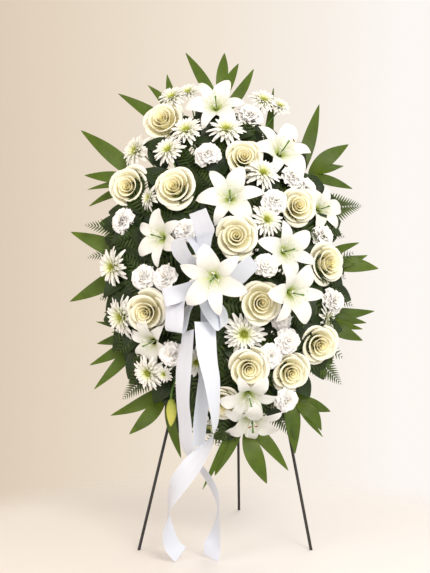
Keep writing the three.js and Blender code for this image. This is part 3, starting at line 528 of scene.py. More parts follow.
# Leaflets in pairs along an arched rib, as on a fern's frond
def frondTree():
    tree, node, given = newTree("fernAlongRib", {
        "Leaflet": "Object", "Pairs": "Int", "Length": "Float", "Half Width": "Float", "Arch": "Float",
        "Base Angle": "Float", "Tip Angle": "Float", "Rib": "Float", "Bare": "Float", "Material": "Material",
    })
    half = node("ShaderNodeMath.MULTIPLY", given["Length"], 0.5)
    top = node("ShaderNodeCombineXYZ", X=half, Z=given["Arch"])
    tip = node("ShaderNodeCombineXYZ", X=given["Length"])
    line = node("GeometryNodeCurveQuadraticBezier", Resolution=12, Start=(0, 0, 0), Middle=top, End=tip)
    dots = node("GeometryNodeResampleCurve", line, Count=given["Pairs"])
    along = node("GeometryNodeSplineParameter")
    swell = node("ShaderNodeFloatCurve", Value=along)
    shape = swell.mapping.curves[0]
    shape.points[0].location = (0.0, 0.55)
    shape.points[1].location = (1.0, 0.04)
    shape.points.new(0.25, 1.0)
    shape.points.new(0.65, 0.62)
    swell.mapping.update()
    reach = node("ShaderNodeMath.MULTIPLY", swell, given["Half Width"])
    keep = node("FunctionNodeCompare", along, given["Bare"],
                settings={"data_type": "FLOAT", "operation": "GREATER_EQUAL"})
    leaflet = node("GeometryNodeObjectInfo", given["Leaflet"]).outputs["Geometry"]
    angle = node("ShaderNodeMapRange", along, To_Min=given["Base Angle"], To_Max=given["Tip Angle"])
    thin = node("ShaderNodeMath.MULTIPLY", node("ShaderNodeMath.SUBTRACT", 1.05, along), given["Rib"])
    section = node("GeometryNodeCurvePrimitiveCircle", Resolution=3, Radius=1.0)
    rib = node("GeometryNodeCurveToMesh", line, section, Scale=thin, Fill_Caps=True)
    whole = node("GeometryNodeJoinGeometry", rib)
    for side in (-1.0, 1.0):
        turn = node("ShaderNodeMath.RADIANS", node("ShaderNodeMath.MULTIPLY", angle, side))
        euler = node("ShaderNodeCombineXYZ", Z=turn)
        leaflets = node("GeometryNodeInstanceOnPoints", Points=dots, Selection=keep, Instance=leaflet,
                        Rotation=euler, Scale=reach)
        tree.links.new(leaflets.outputs[0], whole.inputs[0])
    return endTree(tree, whole, given["Material"])


# Fronds over the dome, between the blooms: they lie along the surface and point away from the middle
def thicketTree():
    tree, node, given = newTree("fernThicket", {
        "Frond": "Object", "Spacing": "Float", "Density": "Float", "Spread": "Float", "Lift": "Float",
        "Size": "Float", "Middle": "Vector", "Seed": "Int", "Material": "Material",
    })
    dots = node("GeometryNodeDistributePointsOnFaces", settings={"distribute_method": "POISSON"},
                Mesh=given["Geometry"], Distance_Min=given["Spacing"], Density_Max=given["Density"],
                Seed=given["Seed"])
    away = node("ShaderNodeVectorMath.SUBTRACT", node("GeometryNodeInputPosition"), given["Middle"])
    loose = node("FunctionNodeRandomValue.FLOAT_VECTOR", (-1, -1, -1), (1, 1, 1), Seed=given["Seed"])
    spread = node("ShaderNodeVectorMath.SCALE", loose, given["Spread"])
    way = node("ShaderNodeVectorMath.ADD", node("ShaderNodeVectorMath.NORMALIZE", away), spread)
    flat = node("FunctionNodeAlignRotationToVector", settings={"axis": "Z"}, Vector=dots.outputs["Normal"])
    along = node("FunctionNodeAlignRotationToVector", settings={"axis": "X", "pivot_axis": "Z"},
                 Rotation=flat, Vector=way)
    tilt = node("FunctionNodeRandomValue.FLOAT", 0.0, given["Lift"], Seed=given["Seed"])
    raising = node("ShaderNodeCombineXYZ", Y=node("ShaderNodeMath.MULTIPLY", tilt, -1.0))
    lifted = node("FunctionNodeRotateRotation", along, raising, settings={"rotation_space": "LOCAL"})
    grown = node("FunctionNodeRandomValue.FLOAT", 0.8, 1.15, Seed=given["Seed"])
    size = node("ShaderNodeMath.MULTIPLY", grown, given["Size"])
    frond = node("GeometryNodeObjectInfo", given["Frond"]).outputs["Geometry"]
    rows = node("GeometryNodeInstanceOnPoints", Points=dots, Instance=frond, Rotation=lifted, Scale=size)
    return endTree(tree, rows, given["Material"])


whorl, alongRib, thicket = whorlTree(), frondTree(), thicketTree()
moulds = []  # objects that a tree copies; they are taken away at the end


def mould(name, mesh):
    thing = addObject(name, mesh)
    moulds.append(thing)
    return thing


# Where a stem goes into the foam: it aims at a line inside the block and is pushed straight in
def foamEntry(point, radius):
    place = np.array([point[0], point @ upFrame, point @ outFrame])
    middle = (foam["low"] + foam["high"]) / 2
    reach = math.hypot(place[0], place[2] - stems["spine"])
    aim = np.array([0, middle + (place[1] - middle) / (1 + stems["fan"] * reach), stems["spine"]])
    walk = unit(aim - place)
    mouth = place.copy()
    for step in np.arange(0, np.linalg.norm(aim - place), stems["step"]):
        mouth = place + walk * step
        inBlock = abs(mouth[0]) < foam["halfWidth"] and foam["low"] < mouth[1] < foam["high"]
        if inBlock and foam["back"] < mouth[2] < foam["front"]:
            break
    mouth[2] = max(mouth[2], foam["rim"] + radius + stems["clear"])
    keep = stems["strapHalf"] + radius + stems["strapClear"]
    if foam["low"] + stems["clear"] < mouth[1] < foam["high"] - stems["clear"]:
        for strap in (middle - stems["strap"], middle + stems["strap"]):
            if abs(mouth[1] - strap) < keep:
                mouth[1] = strap + math.copysign(keep, mouth[1] - strap)
    inwards = unit(lerp(unit(mouth - place), walk, 0.5))
    return [framePoint(*(mouth + inwards * step)) for step in (stems["depth"], -stems["elbow"])]


def stemTo(far, points, radius, sides=7, material=1):
    end, elbow = foamEntry(far, radius)
    return tube(smoothPath([end, elbow, *points], 8 + 5 * len(points)), radius, sides, material, 0.6)


# The heads are made one unit wide, facing +Z
goldenTurn = 137.5  # degrees from one petal to the next


def netOf(rows, columns):  # how far along a petal and across it each point of its grid lies
    return np.linspace(0, 1, rows)[:, None], np.linspace(-1, 1, columns)[None, :]


def ledOff(radius, sweep, height, angle):  # a petal's grid, turned to its place round the stem
    return np.stack([
        radius * math.cos(angle) - sweep * math.sin(angle),
        radius * math.sin(angle) + sweep * math.cos(angle),
        np.broadcast_to(height, sweep.shape),
    ], axis=2)


def spindle(heights, radii, sides, tone):
    return tube([(0, 0, height) for height in heights], radii, sides, 1, tone)


def whorlMesh(name, petal, count, spans, jitter, seed, material):
    ends = {}
    for what, (inner, outer) in spans.items():
        ends.update({"Inner " + what: inner, "Outer " + what: outer})
    return runTree(whorl, name, {
        "Petal": petal, "Count": count, "Turn": goldenTurn, "Jitter": jitter, "Seed": seed,
        "Material": material, **ends,
    })


# A rose's petals are tightest in the cup at its heart. From the heart outwards: how far they reach,
# how high their rims stand, how far the rims roll outwards, and half the turn that each one covers
rose = {
    "petals": 17,
    "rows": 11,
    "columns": 11,
    "lap": 0.08,
    "ages": (0, 0.25, 0.5, 0.7, 1),
    "reach": (0.02, 0.11, 0.22, 0.37, 0.48),
    "top": (0.15, 0.17, 0.14, 0.06, -0.06),
    "roll": (0.02, 0.05, 0.07, 0.13, 0.18),
    "wrap": (135, 100, 84, 66, 56),
}


def roseHead(seed):
    rng = np.random.default_rng(seed)
    along, across = netOf(rose["rows"], rose["columns"])
    openness = rng.uniform(0.92, 1.1)
    parts = []
    for k in range(rose["petals"]):
        age = k / (rose["petals"] - 1)
        shape = [np.interp(age, rose["ages"], rose[key]) for key in ("reach", "top", "roll", "wrap")]
        reach, top, roll, wrap = shape
        reach *= rng.uniform(0.97, 1.03) * lerp(openness, 1.0, age)
        top += rng.uniform(-0.012, 0.012)
        roll *= rng.uniform(0.8, 1.25)
        share = along * (1 - lerp(0.03, 0.2, age) * np.abs(across) ** lerp(2.4, 1.7, age))
        side = bent([
            (0.03, -0.40),
            (lerp(0.4 * reach, 0.05 + 0.85 * reach, age), lerp(-0.16, -0.40, age)),
            (lerp(0.75 * reach, reach - 0.35 * roll, age), top + lerp(-0.05, 0.55 * roll, age)),
            (reach + roll * 0.45, top - roll * lerp(0.15, 0.35, age)),
        ], share)
        radius, height = side[..., 0], side[..., 1]
        corner = age**1.3 * np.abs(across) ** 1.8 * along**3
        wave = 0.02 * age * along**2 * np.sin(across * rng.uniform(3, 5) + rng.uniform(0, 6))
        radius = radius * (1 + rose["lap"] * across * lerp(1.4, 1.0, age)) - 0.05 * corner
        height = height - 0.12 * corner + wave
        angle = math.radians(k * goldenTurn + rng.uniform(-9, 9)) + across * math.radians(wrap)
        grid = np.stack([radius * np.cos(angle), radius * np.sin(angle), height], axis=2)
        parts.append(shell(grid, 0.0035, 0, min(1.0, age * 1.25)))
    parts.append(spindle([-0.56, -0.5, -0.44, -0.38], [0.03, 0.075, 0.085, 0.05], 9, 0.6))
    for k in range(5):  # sepals, turned down
        angle = math.radians(72 * k + rng.uniform(-10, 10))
        rows, columns = netOf(6, 3)
        side = bent([(0.05, -0.42), (0.14, -0.36), (0.22, -0.42), (0.26, -0.52)], rows[:, 0])
        half = 0.05 * np.sin(np.pi * np.clip(rows * 0.9 + 0.12, 0, 1)) + 0.002
        parts.append(shell(ledOff(side[:, 0:1], half * columns, side[:, 1:2], angle), 0.004, 1, 0.8))
    return parts


lily = {"rows": 15, "columns": 9, "broad": 0.165, "narrow": 0.115, "filaments": 6}


def lilyHead(seed, anthers=0):
    rng = np.random.default_rng(seed)
    along, across = netOf(lily["rows"], lily["columns"])
    parts = []
    for k in range(6):
        broad = k % 2
        width = (lily["broad"] if broad else lily["narrow"]) * rng.uniform(0.93, 1.06)
        half = width * 2.2 * (0.06 + along) ** 0.6 * (1.0001 - along) ** 0.62 * 0.98
        side = bent([
            (0.02, -0.31),
            (0.11, lerp(-0.16, -0.12, broad)),
            (rng.uniform(0.29, 0.36), rng.uniform(0.02, 0.10)),
            (0.55 + rng.uniform(-0.02, 0.03), rng.uniform(-0.19, -0.06)),
        ], along[:, 0])
        radius, height = side[:, 0:1], side[:, 1:2]
        waves = along * rng.uniform(9, 13) + rng.uniform(0, 6) + across * 1.6
        ruffle = (0.010 + 0.012 * broad) * np.sin(waves)
        lift = 0.14 * half * np.abs(across) ** 1.4 + ruffle * np.abs(across) ** 3 * np.sin(np.pi * along)
        twist = rng.uniform(-0.25, 0.25) * along**2
        angle = math.radians(60 * k + rng.uniform(-5, 5))
        sweep = half * across * np.cos(twist) + 0.02 * rng.uniform(-1, 1) * along**2
        grid = ledOff(radius, sweep, height + lift + half * across * np.sin(twist), angle)
        parts.append(shell(grid, 0.004, 0, 0.75 if broad else 0.95))
    for k in range(lily["filaments"]):
        angle = math.radians(60 * k + 30 + rng.uniform(-12, 12))
        reach, rise = rng.uniform(0.10, 0.16), rng.uniform(0.02, 0.09)
        way = np.array([math.cos(angle), math.sin(angle)])
        path = smoothPath([(0, 0, -0.3), (*(0.3 * reach * way), -0.12), (*(reach * way), rise)], 7)
        parts.append(tube(path, np.linspace(0.009, 0.005, 7), 5, 0, 0.25))
        tip = path[-1]
        side = np.array([-math.sin(angle), math.cos(angle), 0.3])
        anther = [tip - 0.03 * side, tip - 0.015 * side, tip + 0.015 * side, tip + 0.03 * side]
        parts.append(tube(anther, [0.005, 0.011, 0.011, 0.005], 5, 2 if k < anthers else 0, 0.3))
    pistil = smoothPath([(0, 0, -0.3), (0.01, 0, -0.1), (0.02, 0.01, 0.13)], 6)
    parts.append(tube(pistil, [0.014, 0.012, 0.010, 0.010, 0.012, 0.02], 6, 1, 0.9))
    parts.append(spindle([-0.61, -0.46, -0.36, -0.29], [0.022, 0.026, 0.036, 0.03], 7, 0.8))
    return parts


def budHead(seed):
    rows = np.linspace(0, 1, 12)
    path = np.stack([0.02 * np.sin(rows * 3), np.zeros(12), -0.5 + rows], axis=1)
    radius = 0.19 * np.sin(np.pi * (0.06 + 0.9 * rows) ** 0.85) ** 0.9 + 0.01
    return [tube(path, radius, 12, 3, 0.7)]


# Carnations and mums are whorls of one petal. A span goes from the innermost petal to the outermost
carnation = {
    "petals": 36, "rows": 5, "columns": 11, "wrap": 50, "ruffle": 0.055, "jitter": 0.11,
    "spans": {"Radius": (0.015, 0.045), "Height": (-0.16, -0.18), "Tilt": (86.0, 10.0), "Size": (0.8, 1.02)},
}


def carnationRuffle():  # one ruffled, toothed petal, standing on the origin and leading off along +X
    along, across = netOf(carnation["rows"], carnation["columns"])
    teeth = 0.045 * (np.arange(carnation["columns"]) % 2)[None, :]
    reach = 0.47 * along * (1 - 0.14 * across**2 - teeth * along**3)
    angle = across * math.radians(carnation["wrap"])
    height = carnation["ruffle"] * along**1.4 * np.sin(across * 7.5 + 0.5) - 0.15 * along**2.6
    grid = np.stack([
        0.01 + reach * np.cos(angle), reach * np.sin(angle) + 0.02 * across * (1 - along), height,
    ], axis=2)
    return mould("carnationPetalMould", meshFrom("carnationPetal", [shell(grid, 0.004)]))


def carnationHead(seed):
    mesh = whorlMesh("carnationWhorl", carnationMould, carnation["petals"], carnation["spans"],
                     carnation["jitter"], seed, carnationPetal)
    head = partFrom(mesh)
    head["tone"] = np.clip(np.linalg.norm(head["points"][:, :2], axis=1) * 3, 0, 1)
    return [head, spindle([-0.86, -0.7, -0.4, -0.16], [0.05, 0.1, 0.13, 0.11], 8, 0.9)]


mum = {
    "florets": 58, "bumps": 40, "rows": 6, "columns": 3,
    "rays": {"Radius": (0.075, 0.05), "Height": (-0.005, -0.10), "Tilt": (52.0, 2.0), "Size": (0.55, 1.08)},
    "eye": {"Radius": (0.006, 0.085), "Height": (0.02, -0.01), "Tilt": (88.0, 55.0), "Size": (0.7, 1.2)},
}


def mumFloret():
    along, across = netOf(mum["rows"], mum["columns"])
    half = 0.066 * np.sin(np.pi * (0.12 + 0.82 * along) ** 0.85) ** 0.6
    height = 0.05 * np.abs(across) * np.sin(np.pi * along) - 0.06 * along**2.5
    grid = np.stack([0.5 * along + 0 * across, half * across, height], axis=2)
    return mould("mumFloretMould", meshFrom("mumFloret", [shell(grid, 0.012)]))


def mumBump():
    return mould("mumBumpMould", meshFrom("mumBump", [
        tube([(0, 0, 0), (0.03, 0, 0), (0.07, 0, 0)], [0.012, 0.016, 0.006], 4),
    ]))


def mumHead(seed):
    rays = partFrom(whorlMesh("mumRays", mumFloretMould, mum["florets"], mum["rays"], 0.09, seed, mumPetal))
    rays["tone"] = np.clip((np.linalg.norm(rays["points"][:, :2], axis=1) - 0.08) * 5, 0, 1)
    eye = whorlMesh("mumEyeFlorets", mumBumpMould, mum["bumps"], mum["eye"], 0.08, seed + 40, mumEye)
    cup = spindle([-0.3, -0.22, -0.1, -0.02], [0.03, 0.09, 0.12, 0.06], 8, 0.9)
    return [rays, partFrom(eye, 4, 0.8), cup]


carnationMould, mumFloretMould, mumBumpMould = carnationRuffle(), mumFloret(), mumBump()
carnationHeads = [carnationHead(seed) for seed in (3, 11, 23, 31)]
mumHeads = [mumHead(seed) for seed in (5, 17, 29)]
print("carnation and mum heads grown")

heads = {
    "rose": {"make": roseHead, "back": 0.56, "stem": 0.003, "slot": "rose_petal", "petal": rosePetal},
    "lily": {"make": lilyHead, "back": 0.59, "stem": 0.0032, "slot": "lily_petal", "petal": lilyPetal},
    "bud": {"make": budHead, "back": 0.5},
    "carnation": {"make": lambda seed: carnationHeads[seed % 4], "back": 0.84, "stem": 0.002,
                  "slot": "carnation_petal", "petal": carnationPetal},
    "daisy": {"make": lambda seed: mumHeads[seed % 3], "back": 0.29, "stem": 0.002, "slot": "daisy_petal",
              "petal": mumPetal},
}


def facingOf(place, point):
    if "faces" not in place:
        return domeNormal(point)
    right, up = (math.radians(a) for a in place["faces"])
    return np.array([math.sin(right) * math.cos(up), -math.cos(right) * math.cos(up), math.sin(up)])


def bloom(kind, place, seed):
    head = heads[place.get("kind", kind)]
    point = onDome(place["at"][0], place["at"][1], place.get("lift", 0) / 1000)
    way = facingOf(place, point)
    size = place["width"] / 1000 * (1 + point[1] / sightLines["distance"])
    quaternion = Vector((0, 0, 1)).rotation_difference(Vector(way))
    quaternion = quaternion @ Quaternion((0, 0, 1), math.radians(place.get("roll", 0)))
    made = head["make"](seed, **({"anthers": place["anthers"]} if "anthers" in place else {}))
    turn = np.array(quaternion.to_matrix())
    return [placed(p, turn, point, size) for p in made], point - way * head["back"] * size, way


def addSpray(name, node, kind, places, seed):
    head = heads[kind]
    blooms = [bloom(kind, place, seed + 7 * i) for i, place in enumerate(places)]
    middle = sum(base for _, base, _ in blooms) / len(blooms)
    fork = lerp(foamEntry(middle, head["stem"])[1], middle, places[0].get("fork", 0.35))
    parts = []
    for i, (petals, base, way) in enumerate(blooms):
        parts += petals
        neck = base - way * stems["neck"]
        if len(blooms) == 1:
            parts.append(stemTo(base, [neck, base], head["stem"]))
        elif i == 0:
            parts.append(stemTo(fork, [fork, neck, base], head["stem"]))
        else:
            branch = smoothPath([fork, lerp(fork, neck, 0.5), neck, base], 12)
            parts.append(tube(branch, head["stem"] * 0.8, 6, 1, 0.7))
    materials = [head["petal"], freshStem, lilyPollen, budSkin, mumEye]
    return addPiece(name, parts, materials, [node])


# Blooms: where the photograph shows them, their widths in millimetres, degrees that they face to the right
# and up, and how far they stand off the dome in millimetres
roses = [
    {"at": (162, 120), "width": 98, "faces": (-15, 20)},
    {"at": (128, 187), "width": 103, "faces": (-20, 5)},
    {"at": (174, 187), "width": 103, "faces": (-15, 15)},
    {"at": (243.8, 157), "width": 90, "faces": (5, 12), "lift": -2},
    {"at": (236, 236.5), "width": 105, "faces": (0, 8)},
    {"at": (298, 206), "width": 91, "faces": (14, 10)},
    {"at": (261, 303), "width": 103, "faces": (10, 0)},
    {"at": (145.5, 313), "width": 101, "faces": (-14, -6)},
    {"at": (320, 345), "width": 94, "faces": (16, -8)},
    {"at": (249, 369), "width": 99, "faces": (5, -8)},
    {"at": (291, 373), "width": 96, "faces": (14, -8)},
    {"at": (328.5, 263.5), "width": 99, "faces": (34, 5)},
    {"at": (222, 405), "width": 82, "faces": (-5, -25), "lift": -12},
    {"at": (273.5, 403), "width": 73, "faces": (15, -35), "lift": -50},
]
for i, place in enumerate(roses):
    addSpray("roseBloom%02d" % (i + 1), "rose_%02d" % (i + 1), "rose", [place], 100 + 3 * i)
print("roses placed")

lilies = [
    [{"at": (215, 101), "width": 127, "faces": (-6, 24), "lift": 42}],
    [
        {"at": (285, 146), "width": 143, "faces": (22, 28), "lift": 24, "roll": 22, "fork": 0.5,
         "anthers": 1},
        {"at": (325, 207), "width": 110, "faces": (32, 10), "lift": 10, "roll": -20},
    ],
    [
        {"at": (229, 194), "width": 143, "faces": (-5, 15), "lift": 15},
        {"at": (155, 236.5), "width": 127, "faces": (-35, 5), "lift": 15},
        {"at": (211.5, 280.4), "width": 152, "faces": (-10, -12), "lift": 104, "roll": 30},
    ],
    [
        {"at": (290, 250), "width": 136, "faces": (22, 5), "lift": 20},
        {"at": (298, 294.5), "width": 143, "faces": (30, -8), "lift": 65, "roll": 30},
    ],
    [
        {"at": (146.7, 345), "width": 118, "faces": (-38, -18), "fork": 0.5},
        {"at": (171, 412.5), "width": 62, "faces": (-5, -80), "kind": "bud"},
    ],
    [
        {"at": (249.5, 402), "width": 130, "faces": (5, -34), "lift": 14},
        {"at": (252, 427), "width": 140, "faces": (0, -46), "lift": 6, "roll": 30, "anthers": 2},
    ],
]
for i, places in enumerate(lilies):
    addSpray("lilyBloom%d" % (i + 1), "lily_%d" % (i + 1), "lily", places, 200 + 10 * i)
print("lilies placed")

carnations = [
    [{"at": (207, 152), "width": 59}, {"at": (250, 113), "width": 59}],
    [
        {"at": (294.8, 175), "width": 56, "lift": 6},
        {"at": (276.3, 199.4), "width": 59, "lift": 20},
        {"at": (307, 187), "width": 56, "lift": -8},
    ],
    [{"at": (120.6, 220), "width": 59}, {"at": (183.6, 229), "width": 59}],
    [{"at": (141, 277), "width": 59}, {"at": (163, 277), "width": 59}, {"at": (169.7, 355), "width": 59}],
    [
        {"at": (267.8, 265), "width": 56, "lift": 22},
        {"at": (324.5, 235.5), "width": 59, "lift": -10},
        {"at": (335.7, 301.4), "width": 59, "lift": -8},
    ],
    [
        {"at": (283, 319.6), "width": 51, "lift": -25},
        {"at": (290, 342), "width": 59},
        {"at": (272, 357), "width": 56, "lift": -8},
        {"at": (288, 402), "width": 56, "lift": 18},
    ],
]
for i, places in enumerate(carnations):
    addSpray("carnationSpray%d" % (i + 1), "carnation_spray_%d" % (i + 1), "carnation", places, 300 + 5 * i)

daisies = [
    [{"at": (172, 97), "width": 65}, {"at": (188, 92), "width": 55}, {"at": (186, 130), "width": 75}],
    [
        {"at": (226, 129), "width": 80},
        {"at": (263.5, 100), "width": 63, "lift": 8},
        {"at": (279.5, 106), "width": 50},
    ],
    [
        {"at": (168, 150), "width": 72},
        {"at": (135, 151), "width": 75, "faces": (-50, 20)},
        {"at": (149, 198), "width": 55, "faces": (-60, 10)},
    ],
    [{"at": (263, 172.7), "width": 75, "lift": -5}, {"at": (266.7, 219.8), "width": 75}],
    [
        {"at": (112, 267), "width": 82, "faces": (-45, 0)},
        {"at": (121, 317), "width": 90, "faces": (-50, -10)},
        {"at": (148, 373), "width": 75},
        {"at": (164, 374), "width": 40},
    ],
    [
        {"at": (244, 334), "width": 94, "faces": (0, -5), "lift": -38},
        {"at": (327, 319.6), "width": 69, "faces": (65, -5), "lift": -24},
    ],
    [
        {"at": (196.5, 362), "width": 65, "faces": (0, -15), "lift": -30},
        {"at": (208, 427), "width": 65, "faces": (-5, -45), "lift": -36},
    ],
]
for i, places in enumerate(daisies):
    addSpray("mumSpray%d" % (i + 1), "daisy_spray_%d" % (i + 1), "daisy", places, 400 + 5 * i)
print("carnations and mums placed")


# Palm: a rib from the foam, and leaflets from it to their tips in the photograph. For each frond: places on
# the rib, how far out its tips lie, and each leaflet's start along the rib, its tip and its width
palm = {"rows": 22, "columns": 7, "ribRows": 41, "thick": 0.0007, "droop": 0.010, "channel": 0.16}


def palmLeaflet(base, tip, width, up, rng):
    length = np.linalg.norm(tip - base)
    ahead = (tip - base) / length
    side = unit(np.cross(up, ahead))
    normal = np.cross(ahead, side)
    along, across = netOf(palm["rows"], palm["columns"])
    half = width * 0.5 * np.sin(np.pi * np.clip(along, 0, 1) ** 0.86) ** 0.8 * (1 - 0.25 * along**3) + 0.0006
    twist = rng.uniform(-0.5, 0.5) * along + rng.uniform(-0.25, 0.25)
    sag = palm["droop"] * np.sin(np.pi * along) + rng.uniform(-0.012, 0.004) * along**2
    lift = palm["channel"] * half * np.abs(across)
    sway = 0.01 * rng.uniform(-1, 1) * np.sin(np.pi * along)
    sweep = half * across * np.cos(twist) + sway - lift * np.sin(twist) * 0.5
    rise = half * across * np.sin(twist) + sag + lift * np.cos(twist)
    grid = base + (along * length)[..., None] * ahead + sweep[..., None] * side + rise[..., None] * normal
    return shell(grid, palm["thick"], 0, rng.uniform(0.3, 1.0))


palms = [
    ([(222, 170, 40), (220, 118, 40), (219, 96, 34)], 30, [
        (1, (224.5, 52.8), 29), (0.6, (185.6, 52.8), 29), (0.75, (238.6, 63), 25), (0.5, (253.6, 69.3), 27),
    ]),
    ([(208, 170, 30), (176, 120, 16)], 16, [
        (1, (167, 73.4), 24), (0.8, (147.8, 85.3), 27), (0.5, (118, 92.5), 39), (0.65, (143, 102.5), 18),
    ]),
    ([(182, 208, 34), (140, 180, 34)], 30, [
        (0.9, (81, 130.6), 39), (1, (84.9, 175.8), 29), (0.8, (88.7, 205.6), 22), (0.95, (87, 188.6), 20),
    ]),
    ([(172, 262, 34), (135, 262, 30)], 30, [
        (0.8, (70.8, 232), 42), (1, (69.6, 301), 40), (0.6, (101.5, 219.8), 22),
    ]),
    ([(174, 312, 34), (138, 335, 30)], 30, [
        (0.55, (104, 312), 20), (0.7, (96.4, 322), 22), (1, (97, 343.5), 27), (0.92, (89.6, 365), 29),
        (0.75, (94.2, 389), 30),
    ]),
    ([(190, 352, 36), (166, 395, 36)], 30, [
        (0.75, (110, 415), 34), (1, (129, 434), 34), (0.9, (181, 458), 29),
    ]),
    ([(228, 372, 42), (245, 430, 42)], 30, [
        (0.85, (214.8, 475.5), 35), (0.7, (202.6, 489.5), 17), (1, (266.6, 483.5), 42),
        (0.8, (288.4, 470.5), 30),
    ]),
    ([(264, 352, 40), (298, 402, 36)], 30, [
        (0.75, (295, 453.7), 39), (1, (322, 430.5), 32), (0.92, (331.3, 411), 29),
        (0.85, (322.8, 436.8), 18), (0.8, (317.5, 406), 22),
    ]),
    ([(275, 300, 34), (322, 318, 30)], 30, [
        (1, (362.4, 340.7), 34), (0.85, (366.6, 322.4), 25), (0.7, (374.8, 310.5), 30),
        (0.95, (362.4, 329.4), 20),
    ]),
    ([(275, 258, 34), (330, 266, 30)], 30, [
        (1, (378.5, 268.4), 35), (0.9, (368, 254.4), 30), (0.75, (359.3, 242.4), 22),
    ]),
    ([(262, 205, 34), (312, 172, 30)], 30, [
        (0.9, (352.8, 187.7), 25), (1, (343.6, 166.3), 29), (0.93, (348.4, 144.6), 39), (0.7, (319, 105), 34),
        (0.1, (273.8, 86.2), 25),
    ]),
]
for i, (ribPlaces, out, leaflets) in enumerate(palms):
    rng = np.random.default_rng(500 + i)
    ribPoints = [onFrame(*place) for place in ribPlaces]
    rib = smoothPath(ribPoints, palm["ribRows"])
    parts = [stemTo(ribPoints[0], ribPoints, 0.002, 6, 0)]
    for start, tip, width in leaflets:
        root = rib[round(start * (palm["ribRows"] - 1))]
        parts.append(palmLeaflet(root, onFrame(*tip, out), width / 1000, outFrame, rng))
    addPiece("palmFrond%02d" % (i + 1), parts, [palmSkin], ["palm_frond_%02d" % (i + 1)])
print("palm fronds placed")


# Leatherleaf fern: a toothed pinna, a frond of pinnae, six long fronds at the rim, and fillings between
# the blooms, with broad leaves behind them
fern = {"rows": 13, "tooth": 0.35, "half": 0.17, "thick": 0.012, "baseAngle": 72.0, "tipAngle": 38.0,
        "rib": 0.0011, "rimPairs": 22, "rimArch": 0.02, "rimGain": 1.1}


def fernPinna():  # one pinna a unit long, leading off along +X
    along, across = netOf(fern["rows"], 3)
    teeth = 1 - fern["tooth"] * (np.arange(fern["rows"]) % 2)[:, None]
    half = fern["half"] * (1.02 - along) ** 0.8 * (0.4 + 3 * along).clip(0, 1) * teeth
    grid = np.stack([
        along + 0.06 * np.abs(across) * (1 - along), half * across, 0.03 * np.abs(across) - 0.10 * along**2,
    ], axis=2)
    return mould("fernPinnaMould", meshFrom("fernPinna", [shell(grid, fern["thick"])]))


fernPinnaMould = fernPinna()


def frondMesh(name, pairs, length, halfWidth, arch, bare=0.08):
    return runTree(alongRib, name, {
        "Leaflet": fernPinnaMould, "Pairs": pairs, "Length": length, "Half Width": halfWidth,
        "Arch": arch, "Base Angle": fern["baseAngle"], "Tip Angle": fern["tipAngle"], "Rib": fern["rib"],
        "Bare": bare, "Material": fernSkin,
    })


rimFronds = [
    ((150, 235, 60), (83.6, 225, 70), 0.070),
    ((150, 248, 75), (86, 258, 60), 0.060),
    ((305, 212, 60), (362, 206, 60), 0.084),
    ((300, 345, 60), (342, 385, 60), 0.070),
    ((165, 360, 60), (122, 400, 55), 0.070),
    ((262, 395, 30), (296, 440, 40), 0.060),
]
for i, (start, end, width) in enumerate(rimFronds):
    base, tip = onFrame(*start), onFrame(*end)
    length = np.linalg.norm(tip - base)
    ahead = (tip - base) / length
    side = unit(np.cross(outFrame, ahead))
    half = width / 2 * fern["rimGain"]
    grown = frondMesh("rimFrond%d" % (i + 1), fern["rimPairs"], float(length), half, fern["rimArch"])
    turn = np.stack([ahead, side, np.cross(ahead, side)], axis=1)
    stem = stemTo(base, [base, base + ahead * 0.02], 0.0018, 5, 0)
    # Tone 0.9 keeps the rim fronds mostly clear of the painted shade in the fern's heart ramp
    addPiece("fernFrond%d" % (i + 1), [stem, placed(partFrom(grown, 0, 0.9), turn, base)], [fernSkin],
             ["fern_frond_%d" % (i + 1)])


patchRows = 25


def domePatch(name, low, high, behind, reach):  # a patch of the dome between two heights, moved back
    rows = []
    for z in np.linspace(low, high, patchRows):
        rise = 1 - ((z - dome["height"]) / dome["halfHeight"] / reach) ** 2
        span = dome["halfWidth"] * reach * math.sqrt(max(0.02, rise))
        row = []
        for x in np.linspace(-span, span, patchRows):
            front = domeDepth(x, z)
            swell = max(0.0, (easel["leanRun"] * z - dome["base"] - front) / dome["bulge"])
            row.append((x, front + behind * (0.55 + 0.45 * swell), z))
        rows.append(row)
    index = np.arange(patchRows**2).reshape(patchRows, patchRows)
    quads = np.stack([index[:-1, :-1], index[:-1, 1:], index[1:, 1:], index[1:, :-1]], axis=2).reshape(-1, 4)
    mesh = bpy.data.meshes.new(name)
    mesh.from_pydata(np.array(rows).reshape(-1, 3).tolist(), [], quads.tolist())
    return mesh


def broadLeaf():  # a pointed oval leaf a unit long, leading off along +X, folded at its midrib
    along, across = netOf(9, 5)
    half = 0.3 * np.sin(np.pi * (0.02 + 0.96 * along) ** 0.8) ** 0.85
    fold = 0.4 * half * np.abs(across) + 0.12 * np.sin(np.pi * along) - 0.1 * along**2
    grid = np.stack([along + 0 * across, half * across, fold], axis=2)
    return mould("broadLeafMould", meshFrom("broadLeaf", [shell(grid, 0.008)]))


